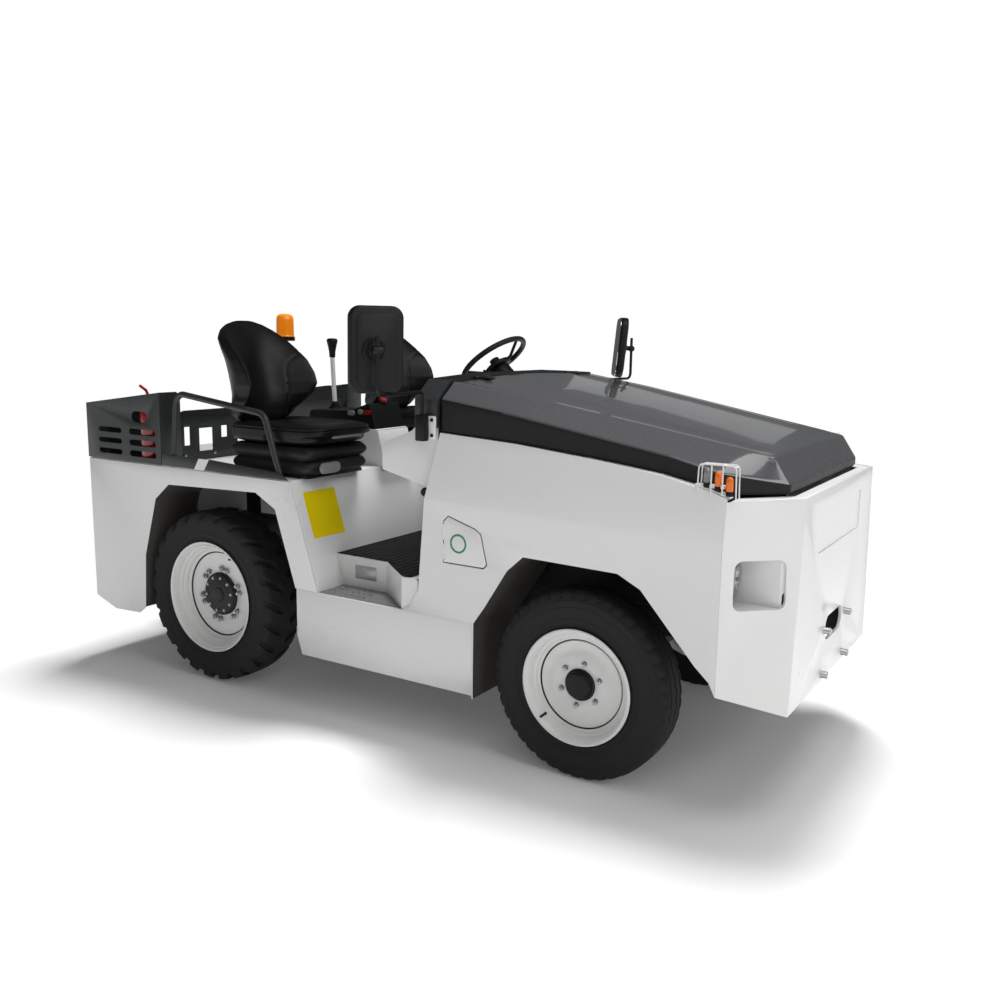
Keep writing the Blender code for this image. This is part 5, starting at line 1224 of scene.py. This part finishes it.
@dataclass
class Steering:
    """Steering wheel on its column, with its stalk."""

    centre: Vector = field(default_factory=lambda: Vector((0.480, 0.054, 1.565)))
    tilt: float = math.radians(38)

    def build(self) -> None:
        """Model the wheel on its own body and the column on the vehicle."""
        axis = Vector((0, math.sin(self.tilt), math.cos(self.tilt)))
        circle = [(0.180 + 0.0138 * math.cos(a), 0.0138 * math.sin(a))
                  for a in (2 * math.pi * i / 16 for i in range(16))]
        rim = turned(circle, self.centre, axis, 96, closed=True)
        painted(rim, BELLOWS)
        hand_in(rim, "steering_rim", "steering_wheel", ("steering_wheel",))
        turn = facing(axis).to_3x3()
        hub = self.centre - axis * 0.045
        spokes = []
        for angle in (90, 215, 325):
            reach = turn @ Vector((math.cos(math.radians(angle)), math.sin(math.radians(angle)), 0))
            path = bent([hub + reach * 0.040, hub + reach * 0.092, self.centre + reach * 0.176],
                        [0.03])
            spokes.append(tube(path, 0.0078, 3))
        boss = turned([(0, -0.012), (0.066, -0.012), (0.0735, -0.006), (0.0745, 0.004),
                       (0.0700, 0.011), (0.0560, 0.017), (0.0380, 0.021), (0.0280, 0.024),
                       (0.0265, 0.027), (0.0262, 0.043), (0.0235, 0.0465), (0, 0.0470)],
                      hub, axis, 56)
        centre = painted(joined(spokes + [boss]), PLASTIC)
        hand_in(centre, "steering_spokes", "steering_wheel")
        top = hub - axis * 0.0123
        column = turned([(0, -0.003), (0.046, -0.003), (0.052, -0.006), (0.0595, -0.060),
                         (0.0560, -0.130), (0.0500, -0.198), (0.030, -0.200), (0.030, -0.560),
                         (0.0, -0.560)], top, axis, 48)
        edit(column, lambda: bpy.ops.mesh.bisect(plane_co=(0, -0.4292, 0), plane_no=(0, 1, 0),
                                                 use_fill=True, clear_inner=True))
        hand_in(painted(column, PLASTIC), "steering_column_look", "body",
                ("steering_column",))
        start = top - axis * 0.045 + Vector((-0.050, 0.0, 0.0))
        stalk = tube(bent([start, start + Vector((-0.060, 0.004, 0.006)),
                           start + Vector((-0.105, 0.010, 0.022))], [0.02]), 0.0045, 3)
        end = round_bar(start + Vector((-0.100, 0.009, 0.020)),
                        start + Vector((-0.122, 0.012, 0.029)), 0.0075, bevel=0.002)
        hand_in(painted(joined([stalk, end]), PLASTIC), "steering_stalk", "body")
        stop = round_bar(top - axis * 0.100 + Vector((-0.052, 0.02, 0)),
                         top - axis * 0.100 + Vector((-0.068, 0.026, 0)), 0.011, bevel=0.002)
        hand_in(painted(stop, RED_PLASTIC), "key_switch", "body")


@dataclass
class Lamps:
    """Headlamps, indicators with their guards, tail lamps and beacon."""

    def headlamp(self, side: int, word: str) -> None:
        """Round lamp: black rim, bright ring, reflector and domed lens."""
        centre, ahead = (side * 0.6485, -1.6073, 0.872), (0, -1, 0)
        shell = turned([(0.0, 0.0), (0.0624, 0.0), (0.0678, 0.0048), (0.0678, 0.0504),
                        (0.0636, 0.0570), (0.0588, 0.0570), (0.0564, 0.0480), (0.0240, 0.0120),
                        (0.0, 0.0096)], centre, ahead, 64)
        painted(shell, PLASTIC)
        painted_where(shell, REFLECTOR, lambda c, n: math.hypot(c.x - centre[0], c.z - centre[2])
                      < 0.0582 and c.y < -1.613)
        hand_in(shell, "headlamp_body_" + word, "body", ("headlamp_" + word,), 40)
        ring = turned([(0.0558, 0.0432), (0.0612, 0.0432), (0.0624, 0.0546), (0.0600, 0.0574),
                       (0.0570, 0.0564), (0.0558, 0.0516)], centre, ahead, 64, closed=True)
        hand_in(painted(ring, REFLECTOR), "headlamp_ring_" + word, "body", angle=50)
        lens = turned([(0.0, 0.0552), (0.0180, 0.0546), (0.0360, 0.0528), (0.0564, 0.0480),
                       (0.0564, 0.0450), (0.0360, 0.0498), (0.0180, 0.0516), (0.0, 0.0522)],
                      centre, ahead, 64)
        hand_in(painted(lens, CLEAR), "headlamp_lens_" + word, "body", angle=60)

    def indicator(self, side: int, word: str) -> None:
        """Two amber lamps and a clear one on dark bases inside a double wire guard."""
        x = side * 0.7065
        finishes = (AMBER, AMBER, CLEAR)
        foot = painted(skin_of("indicator_" + word, 0.001), WHITE)
        edit(foot, lambda: bpy.ops.mesh.bisect(plane_co=(0, 0, 1.2025), plane_no=(0, 0, 1),
                                               clear_outer=True, use_fill=True))
        hand_in(foot, "indicator_foot_" + word, "body", ("indicator_" + word,))
        for index, y in enumerate((-1.650, -1.610, -1.570)):
            low = between(TOP_EDGE, y)[0] + 0.008
            base = round_bar((x, y, low), (x, y, low + 0.017), 0.0130, 0.0125, 24, 0.001)
            hand_in(painted(base, PLASTIC), "indicator_base_%s_%d" % (word, index), "body")
            profile = [(0, 0.0), (0.0128, 0.0)]
            for rib in range(6):
                profile += [(0.0130, 0.002 + rib * 0.006), (0.0122, 0.005 + rib * 0.006)]
            profile += [(0.0118, 0.040), (0.0085, 0.0475), (0, 0.0500)]
            lens = turned(profile, (x, y, low + 0.0172), (0, 0, 1), 28)
            hand_in(painted(lens, finishes[index]), "indicator_lens_%s_%d" % (word, index), "body",
                    angle=50)
        wires = []
        for offset in (-side * 0.0165, side * 0.0170):
            wires.append(tube(bent([(x + offset, -1.6790, 1.162), (x + offset, -1.6760, 1.2740),
                                    (x + offset, -1.5450, 1.2740), (x + offset, -1.5420, 1.180)],
                                   [0.016, 0.016]), 0.0026, 3))
        wires += [tube([(x + side * 0.0170, y, 1.170), (x + side * 0.0170, y, 1.2740)], 0.0026, 3)
                  for y in (-1.630, -1.590)]
        wires += [tube([(x - side * 0.0165, y, z), (x + side * 0.0170, y, z)], 0.0024, 3)
                  for y, z in ((-1.6705, 1.269), (-1.5505, 1.269), (-1.630, 1.274), (-1.590, 1.274))]
        hand_in(painted(joined(wires), WHITE), "indicator_guard_" + word, "body",
                angle=60)

    def tail_lamp(self, side: int, word: str) -> None:
        """Rear lamp: black base, red lens and an amber part."""
        low, high = sorted((side * 0.590, side * 0.690))
        base = block((low, 1.7353, 0.880), (high, 1.746, 0.960), 0.002)
        hand_in(painted(base, PLASTIC), "tail_lamp_base_" + word, "body")
        split = side * 0.652
        spans = ((side * 0.593, split - side * 0.001, RED_LENS),
                 (split + side * 0.001, side * 0.687, AMBER))
        for index, (a, b, finish) in enumerate(spans):
            lens = block((min(a, b), 1.7462, 0.883), (max(a, b), 1.7648, 0.957), 0.004, 3)
            hand_in(painted(lens, finish), "tail_lamp_lens_%s_%d" % (word, index), "body",
                    ("tail_lamp_" + word,) if index == 0 else ())

    def beacon(self) -> None:
        """Pole, base and a ribbed amber dome."""
        foot = turned([(0, 0.0), (0.035, 0.0), (0.035, 0.008), (0.026, 0.012), (0.013, 0.016),
                       (0.012, 0.020), (0.012, 0.600), (0.0, 0.600)], (0, 1.070, 1.0455),
                      (0, 0, 1), 40)
        hand_in(painted(foot, HAMMERED), "beacon_pole", "body", ("beacon",))
        base = turned([(0, 0.0), (0.050, 0.0), (0.0515, 0.004), (0.0515, 0.018), (0.047, 0.022),
                       (0, 0.022)], (0, 1.070, 1.646), (0, 0, 1), 64)
        hand_in(painted(base, PLASTIC), "beacon_base", "body")
        profile = [(0.0, 0.0), (0.0475, 0.0), (0.0480, 0.004)]
        for index in range(14):
            z = 0.006 + index * 0.0064
            profile += [(0.0468 - index * 0.00012, z), (0.0456 - index * 0.00012, z + 0.0032)]
        profile += [(0.0440, 0.098), (0.0400, 0.108), (0.0320, 0.115), (0.0180, 0.1185),
                    (0.0, 0.1195)]
        dome = turned(profile, (0, 1.070, 1.6683), (0, 0, 1), 72)
        hand_in(painted(dome, BEACON), "beacon_dome", "body", angle=50)

    def build(self) -> None:
        """Model every lamp."""
        for side, word in SIDES:
            self.headlamp(side, word)
            self.indicator(side, word)
            self.tail_lamp(side, word)
        self.beacon()


@dataclass
class Mirror:
    """Door mirror with its clamp, arm, shell and glass."""

    side: int
    word: str

    def build(self) -> None:
        """Model the mirror."""
        s = self.side
        tube_x, foot_y = s * 0.7443, -0.388
        plate = block((min(s * 0.7145, s * 0.7260), foot_y - 0.050, 1.280),
                      (max(s * 0.7145, s * 0.7260), foot_y + 0.026, 1.372), 0.002)
        hand_in(painted(plate, WHITE), "mirror_bracket_" + self.word, "body")
        clamp = block((min(s * 0.7264, s * 0.7610), foot_y - 0.0235, 1.272),
                      (max(s * 0.7264, s * 0.7610), foot_y + 0.0235, 1.378), 0.006)
        bolts = [bolt((s * 0.7262, foot_y - 0.0365, z), (s, 0, 0), 0.007, PLASTIC)
                 for z in (1.295, 1.357)]
        hand_in(painted(joined([clamp, *bolts]), PLASTIC), "mirror_clamp_" + self.word, "body")
        turn = (Matrix.Translation((s * 1.045, -0.400, 1.635))
                @ Matrix.Rotation(s * math.radians(32), 4, "Z"))
        knot = turn @ Vector((s * 0.015, -0.0640, 0))
        arm = tube(bent([(tube_x, foot_y, 1.290), (tube_x, foot_y, 1.468),
                         (knot.x, knot.y, 1.468), (knot.x, knot.y, knot.z + 0.052)],
                        [0.018, 0.030]), 0.0072, 4)
        hand_in(painted(arm, PLASTIC), "mirror_arm_" + self.word, "body",
                ("mirror_" + self.word,), 50)
        turn = turn @ Matrix.Rotation(math.radians(5 if s > 0 else 1.5), 4, "X")
        shell = sheet_metal(rounded_rect((0, -0.0215, 0), (1, 0, 0), (0, 0, 1), 0.208, 0.319,
                                         0.045, 8), (0, 0.0395, 0))
        round_edges(shell, 0.010, 4, 60)
        raised = sheet_metal(rounded_rect((0, -0.0250, 0), (1, 0, 0), (0, 0, 1), 0.158, 0.266,
                                          0.032, 8), (0, 0.010, 0))
        round_edges(raised, 0.0015, 2, 60)
        boss = turned([(0, 0.0), (0.0450, 0.0), (0.0450, 0.0060), (0.0425, 0.0085),
                       (0.0380, 0.0085), (0.0355, 0.0060), (0.0355, 0.0030), (0.0240, 0.0030),
                       (0.0235, 0.0090), (0.0130, 0.0120), (0.0120, 0.0300), (0, 0.0300)],
                      (0.015 * s, -0.0249, 0), (0, -1, 0), 48)
        fist = round_bar((0.015 * s - 0.021, -0.0640, 0), (0.015 * s + 0.021, -0.0640, 0), 0.0165,
                         bevel=0.005)
        shell = moved(joined([shell, raised, boss, fist]), turn)
        hand_in(painted(shell, PLASTIC), "mirror_shell_" + self.word, "body")
        glass = sheet_metal(rounded_rect((0, 0.0182, 0), (1, 0, 0), (0, 0, 1), 0.193, 0.304,
                                         0.040, 8), (0, 0.003, 0))
        hand_in(painted(moved(glass, turn), MIRROR), "mirror_glass_" + self.word, "body")


@dataclass
class Cabin:
    """Console, dash, mats, treads, plates and the small hardware round the driver."""

    def console(self) -> None:
        """Buttons and switches of the console and the hand lever."""
        buttons = ((0.515, 1.2975, 0.046, GREY_PLASTIC), (0.455, 1.3060, 0.034, GREY_PLASTIC),
                   (0.412, 1.3060, 0.042, RED_PLASTIC))
        for index, (y, z, width, finish) in enumerate(buttons):
            pad = sheet_metal(rounded_rect((-0.1154, y, z), (0, 1, 0), (0, 0, 1), width, 0.023,
                                           0.0105, 6), (-0.008, 0, 0), 0.002)
            hand_in(painted(pad, finish), "console_button_%d" % index, "body")
        way = Vector((0, -0.5, 1)).normalized()
        spot = Vector((0, 0.412, 1.3520))
        base = round_bar(spot, spot + way * 0.008, 0.023, bevel=0.001)
        hand_in(painted(base, PLASTIC), "console_switch_base", "body")
        cap = round_bar(spot + way * 0.0082, spot + way * 0.019, 0.018, 0.0155, 32, 0.002)
        hand_in(painted(cap, RED_PLASTIC), "console_switch", "body")
        shaft = round_bar((0.050, 0.770, 1.3016), (0.050, 0.785, 1.5645), 0.0115, sides=32)
        boot = turned([(0.0118, 0), (0.032, 0), (0.031, 0.006), (0.023, 0.011), (0.024, 0.018),
                       (0.0165, 0.026), (0.0118, 0.034)], (0.050, 0.7702, 1.3020),
                      (0, 0.0568, 1), 32, closed=True)
        knob = turned([(0, 0.0), (0.0145, 0.0), (0.0155, 0.002), (0.0170, 0.030), (0.0205, 0.048),
                       (0.0240, 0.065), (0.0275, 0.078), (0.0288, 0.085), (0.0275, 0.0915),
                       (0.0235, 0.0960), (0.0140, 0.0982), (0, 0.0985)], (0.050, 0.785, 1.5652),
                      (0, 0, 1), 40)
        hand_in(painted(shaft, WHITE), "lever_shaft", "body", ("hand_lever",))
        hand_in(painted(joined([boot, knob]), PLASTIC), "lever_knob", "body")

    def dash(self) -> None:
        """Blank display, rocker switches and the green and red dash lights."""
        normal = Vector((0, 0.160, 0.080)).normalized()
        slope = Vector((0, -0.080, 0.160)).normalized()
        spot = Vector((0.480, -0.296, 1.4205)) + normal * 0.0006
        frame = sheet_metal(rounded_rect(spot, (1, 0, 0), slope, 0.150, 0.092, 0.012),
                            normal * 0.007, 0.0015)
        hand_in(painted(frame, PLASTIC), "display_frame", "body")
        glass = sheet_metal(rounded_rect(spot + normal * 0.0072, (1, 0, 0), slope, 0.128, 0.070,
                                         0.006), normal * 0.001)
        hand_in(painted(glass, SCREEN), "display_glass", "body")
        keys = []
        for index in range(6):
            at = Vector((0.270 - index * 0.034, -0.296, 1.4205)) + normal * 0.0006
            key = sheet_metal(rounded_rect(at, (1, 0, 0), slope, 0.024, 0.038, 0.003),
                              normal * 0.006, 0.001)
            keys.append(key)
        hand_in(painted(joined(keys), PLASTIC), "dash_rockers", "body")

    def floor(self) -> None:
        """Ribbed rubber mat, grip treads on the steps and the blank riser plates."""
        half = [(0.566, 0.222), (0.566, -0.0655), (0.738, -0.2805), (0.738, -0.328)]
        mat = [sheet_metal([(x, y, 0.7004) for x, y in half]
                           + [(-x, y, 0.7004) for x, y in reversed(half)], (0, 0, 0.0030))]
        for index in range(15):
            y = 0.204 - index * 0.036
            reach = 0.562 if y > -0.066 else 0.562 + (-0.066 - y) * 0.79
            mat.append(block((-reach, y - 0.0085, 0.7034), (reach, y + 0.0085, 0.7060), 0.0012, 1))
        hand_in(painted(joined(mat), MAT), "floor_mat", "body")
        for side, word in SIDES:
            outline = [(0.743, 0.178), (0.575, 0.178), (0.575, -0.066), (0.724, -0.272),
                       (0.743, -0.272)]
            tread = sheet_metal([(side * x, y, 0.5603) for x, y in outline], (0, 0, 0.0022),
                                0.0008)
            end = block((min(side * 0.7395, side * 0.7415), -0.366, 0.5606),
                        (max(side * 0.7395, side * 0.7415), -0.2835, 0.6935), 0.0004, 1)
            hand_in(painted(end, WHITE), "step_end_" + word, "body")
            dots = []
            for row in range(3):
                for place in range(7):
                    x, y = 0.705 - row * 0.045, 0.150 - place * 0.0335
                    dots.append(turned([(0.0088, 0.0), (0.0078, 0.0030), (0.0055, 0.0030),
                                        (0.0048, 0.0004), (0, 0.0002)],
                                       (side * x, y, 0.5625), (0, 0, 1), 20))
            hand_in(painted(tread, TREAD), "step_tread_" + word, "body")
            # Painted highlight: the dimples, pressed in the same galvanised plate, get the brighter
            # zinc finish
            hand_in(painted(joined(dots), ZINC_AND_DIMPLE_HIGHLIGHT), "step_dimples_" + word, "body")
            plate = sheet_metal(rounded_rect((side * 0.5703, 0.052, 0.632), (0, 1, 0), (0, 0, 1),
                                             0.120, 0.062, 0.004), (side * 0.0012, 0, 0), 0.0003)
            hand_in(painted(plate, SILVER_FOIL), "riser_plate_" + word, "body")

    def plates(self) -> None:
        """Blank foils, the flap's green ring and the white strap over each deck trim."""
        rake = Vector((0, SEAT_FRONT[1] - SEAT_FRONT[0], 1.045 - 0.560)).normalized()
        out = Vector((0, -rake.z, rake.y))
        z = 0.885
        y = SEAT_FRONT[0] + (SEAT_FRONT[1] - SEAT_FRONT[0]) * (z - 0.560) / (1.045 - 0.560)
        spot = Vector((-0.583, y, z)) + out * 0.0004
        foil = sheet_metal(rounded_rect(spot, (1, 0, 0), rake, 0.208, 0.213, 0.006), out * 0.0006)
        hand_in(painted(foil, YELLOW_FOIL), "yellow_plate", "body")
        ring = turned([(0.0310, 0.0), (0.0390, 0.0), (0.0390, 0.0006), (0.0310, 0.0006)],
                      (-0.7503, -0.572, 0.876), (-1, 0, 0), 48, closed=True)
        hand_in(painted(ring, GREEN_FOIL), "flap_ring", "charge_flap")
        for side, word in SIDES:
            corners = [(0.947, 1.0445), (0.879, 1.0445), (0.8435, 1.0985), (0.9134, 1.0985)]
            strap = sheet_metal([(side * 0.7503, y, z) for y, z in corners], (side * 0.0008, 0, 0))
            hand_in(painted(strap, WHITE), "trim_strap_" + word, "body")

    def latches(self) -> None:
        """Black turn knobs that lock the bonnet and the wing panels."""
        for side, word in SIDES:
            base = turned([(0, 0), (0.019, 0), (0.019, 0.003), (0.014, 0.006), (0.0135, 0.014),
                           (0.011, 0.017), (0, 0.0175)], (side * 0.7365, -0.396, 1.064),
                          (side, 0, 0.05), 32)
            moved(base, Matrix.Translation((-side * 0.006, 0, 0)))
            hand_in(painted(base, PLASTIC), "wing_knob_" + word, "body")

    def build(self) -> None:
        """Model every piece round the driver."""
        self.console()
        self.dash()
        self.floor()
        self.plates()
        self.latches()


@dataclass
class Rear:
    """Grab rails, extinguisher, tow pin and the small hardware at the tail."""

    def rails(self) -> None:
        """Bent hammered tubes over the deck trims."""
        for side, word in SIDES:
            x = side * 0.7285
            path = bent([(x, 1.116, 1.0470), (x, 1.078, 1.400), (x, 0.500, 1.330),
                         (x, 0.405, 1.0470)], [0.055, 0.060], 10)
            rail = tube(path, 0.0148, 6)
            hand_in(painted(rail, HAMMERED), "grab_rail_look_" + word, "body",
                    ("grab_rail_" + word,), 60)

    def extinguisher(self) -> None:
        """Bottle with its valve and its red carrying and squeeze handles."""
        x, y, foot = -0.686, 1.320, 1.0533
        bottle = turned([(0, 0.0), (0.046, 0.0), (0.051, 0.004), (0.0538, 0.012), (0.0538, 0.222),
                         (0.0520, 0.236), (0.0460, 0.252), (0.0340, 0.265), (0.0200, 0.271),
                         (0.0190, 0.276), (0.0, 0.276)], (x, y, foot), (0, 0, 1), 64)
        hand_in(painted(bottle, RED), "extinguisher_bottle", "body",
                ("fire_extinguisher",))
        valve = turned([(0, 0.272), (0.0175, 0.272), (0.0175, 0.290), (0.012, 0.294),
                        (0.010, 0.303), (0, 0.303)], (x, y, foot), (0, 0, 1), 32)
        hand_in(painted(valve, STEEL), "extinguisher_valve", "body")
        grip = block((x - 0.0075, y - 0.018, foot + 0.286), (x + 0.0075, y + 0.068, foot + 0.2985),
                     0.003)
        lever = tube(bent([(x, y, foot + 0.297), (x, y + 0.030, foot + 0.345),
                           (x, y + 0.074, foot + 0.366)], [0.01]), 0.0072, 3)
        hand_in(painted(joined([grip, lever]), RED), "extinguisher_grip", "body")

    def tow_pin(self) -> None:
        """Drop pin with a collar and a knob on its head."""
        pin = turned([(0, 0.336), (0.0110, 0.336), (0.0138, 0.341), (0.0138, 0.5305),
                      (0.0250, 0.5308), (0.0258, 0.533), (0.0258, 0.543), (0.0240, 0.5458),
                      (0.0120, 0.5462), (0.0112, 0.558), (0.0090, 0.5598), (0, 0.560)],
                     (0, 1.845, 0), (0, 0, 1), 48)
        hand_in(painted(pin, STEEL), "tow_pin", "hitch_pin", ("hitch_pin",))

    def plate_bolts(self) -> None:
        """Bolts of the tow jaw and of the rear guard."""
        heads = [bolt((x, 1.7575, z), (0, 1, 0), 0.014) for x in (-0.085, 0.085)
                 for z in (0.365, 0.475, 0.585)]
        hand_in(joined(heads), "tow_jaw_bolts", "body")
        heads = [bolt((x, 1.1948, 1.075), (0, -1, 0), 0.008) for x in (-0.59, -0.40, 0.40, 0.59)]
        hand_in(joined(heads), "rear_guard_bolts", "body")

    def build(self) -> None:
        """Model every piece of the tail."""
        self.rails()
        self.extinguisher()
        self.tow_pin()
        self.plate_bolts()


@dataclass
class Power:
    """Traction battery in its tray."""

    def build(self) -> None:
        """Model the battery case."""
        case = painted(skin_of("battery_pack", 0.002), CHASSIS)
        hand_in(case, "battery_case", "body", ("battery_pack",))


@dataclass
class Studio:
    """Floor, soft lights, pale world and the camera at the photographer's place."""

    place: Vector = field(default_factory=lambda: Vector((-3.9027, -2.7331, 1.6994)))
    azimuth: float = math.radians(-58.017)
    height: float = math.radians(9.582)
    roll: float = math.radians(0.832)
    lens: float = 35.448

    def camera(self) -> None:
        """Set the camera up from its measured place and angles."""
        a, e, r = self.azimuth, self.height, self.roll
        back = Vector((math.sin(a) * math.cos(e), -math.cos(a) * math.cos(e), math.sin(e)))
        level = Vector((0, 0, 1)).cross(back).normalized()
        above = back.cross(level)
        right = level * math.cos(r) + above * math.sin(r)
        up = above * math.cos(r) - level * math.sin(r)
        deselect()
        bpy.ops.object.camera_add()
        camera = bpy.context.object
        camera.name = "photo_camera"
        turn = Matrix((right, up, back)).transposed().to_4x4()
        camera.matrix_world = Matrix.Translation(self.place) @ turn
        camera.data.lens = self.lens
        camera.data.sensor_width = 36
        camera.data.sensor_fit = "HORIZONTAL"
        camera.data.clip_end = 200
        bpy.context.scene.camera = camera

    def light(self, name: str, spot: Point, aim: Point, size: Point, watts: float,
              mirrored_too: bool = True) -> None:
        """Add a soft rectangular light that points at a spot.

        Args:
            name: The light's name.
            spot: Where it hangs.
            aim: Where it points.
            size: Its width and height.
            watts: Its power.
            mirrored_too: Whether glossy surfaces mirror it.
        """
        deselect()
        bpy.ops.object.light_add(type="AREA", location=spot)
        lamp = bpy.context.object
        lamp.name = name
        lamp.data.shape = "RECTANGLE"
        lamp.data.size, lamp.data.size_y = size
        lamp.data.energy = watts
        lamp.visible_glossy = mirrored_too
        way = Vector(aim) - Vector(spot)
        lamp.rotation_euler = way.to_track_quat("-Z", "Y").to_euler()

    def floor(self) -> None:
        """Pale floor that fades to white away from the vehicle."""
        deselect()
        bpy.ops.mesh.primitive_plane_add(size=60, location=(0, 0, 0))
        ground = bpy.context.object
        ground.name = "studio_floor"
        material = bpy.data.materials.new("studio_floor")
        material.use_nodes = True
        tree = material.node_tree
        tree.nodes.clear()
        place = add_node(tree, "ShaderNodeTexCoord").outputs["Object"]
        span = add_node(tree, "ShaderNodeVectorMath", {0: place}, operation="LENGTH")
        fade = add_node(tree, "ShaderNodeMapRange",
                        {"Value": span.outputs["Value"], "From Min": 2.4, "From Max": 5.0,
                         "To Min": 0.0, "To Max": 1.0})
        matt = add_node(tree, "ShaderNodeBsdfPrincipled",
                        {"Base Color": linear("F4F4F4"), "Roughness": 0.6,
                         "Emission Color": linear("FFFFFF"), "Emission Strength": 0.06})
        plain = add_node(tree, "ShaderNodeEmission", {"Color": linear("FFFFFF"), "Strength": 1.0})
        mix = add_node(tree, "ShaderNodeMixShader", {"Fac": fade.outputs["Result"]})
        tree.links.new(matt.outputs["BSDF"], mix.inputs[1])
        tree.links.new(plain.outputs["Emission"], mix.inputs[2])
        add_node(tree, "ShaderNodeOutputMaterial", {"Surface": mix.outputs["Shader"]})
        ground.data.materials.append(material)

    def world(self) -> None:
        """White for the camera, a softer grey for the light on the vehicle."""
        world = bpy.data.worlds.new("studio")
        world.use_nodes = True
        tree = world.node_tree
        tree.nodes.clear()
        rays = add_node(tree, "ShaderNodeLightPath")
        seen = add_node(tree, "ShaderNodeBackground", {"Color": linear("FFFFFF"), "Strength": 1.0})
        soft = add_node(tree, "ShaderNodeBackground", {"Color": linear("F2F5F8"), "Strength": 0.11})
        mix = add_node(tree, "ShaderNodeMixShader", {"Fac": rays.outputs["Is Camera Ray"]})
        tree.links.new(soft.outputs["Background"], mix.inputs[1])
        tree.links.new(seen.outputs["Background"], mix.inputs[2])
        add_node(tree, "ShaderNodeOutputWorld", {"Surface": mix.outputs["Shader"]})
        bpy.context.scene.world = world

    def build(self) -> None:
        """Set the whole studio up."""
        self.camera()
        self.floor()
        self.world()
        self.light("key", (4.2, 1.2, 15.0), (0, 0, 0.4), (5.0, 5.0), 2700, False)
        self.light("front", (-1.4, -6.4, 3.6), (0, -1.2, 0.7), (3.5, 2.5), 84)
        self.light("side", (-5.0, -3.4, 4.6), (-0.4, 0.1, 0.7), (4.0, 3.0), 38)
        self.light("sheen", (-0.4, -2.6, 4.6), (0, -1.2, 1.3), (3.4, 2.2), 60)
        self.light("far_sheen", (5.6, 0.8, 2.6), (0, -1.4, 1.4), (2.4, 0.9), 1.5)
        scene = bpy.context.scene
        scene.view_settings.view_transform = "Standard"
        scene.view_settings.look = "None"


def main() -> None:
    """Build every look and set the studio up; each piece logs its face count."""
    logging.basicConfig(level=logging.INFO, format="%(message)s")
    for skin in shell_skins():
        skin.build()
    Bonnet().build()
    for side, word in SIDES:
        Wheel(side, word).build()
        Wheel(side, word, "rear", 0.618, 0.910, 0.420, 0.113, 0.272).build()
        Seat(side, word).build()
        Mirror(side, word).build()
    for assembly in (Steering(), Lamps(), Cabin(), Rear(), Power(), Studio()):
        assembly.build()


if __name__ == "__main__":
    main()
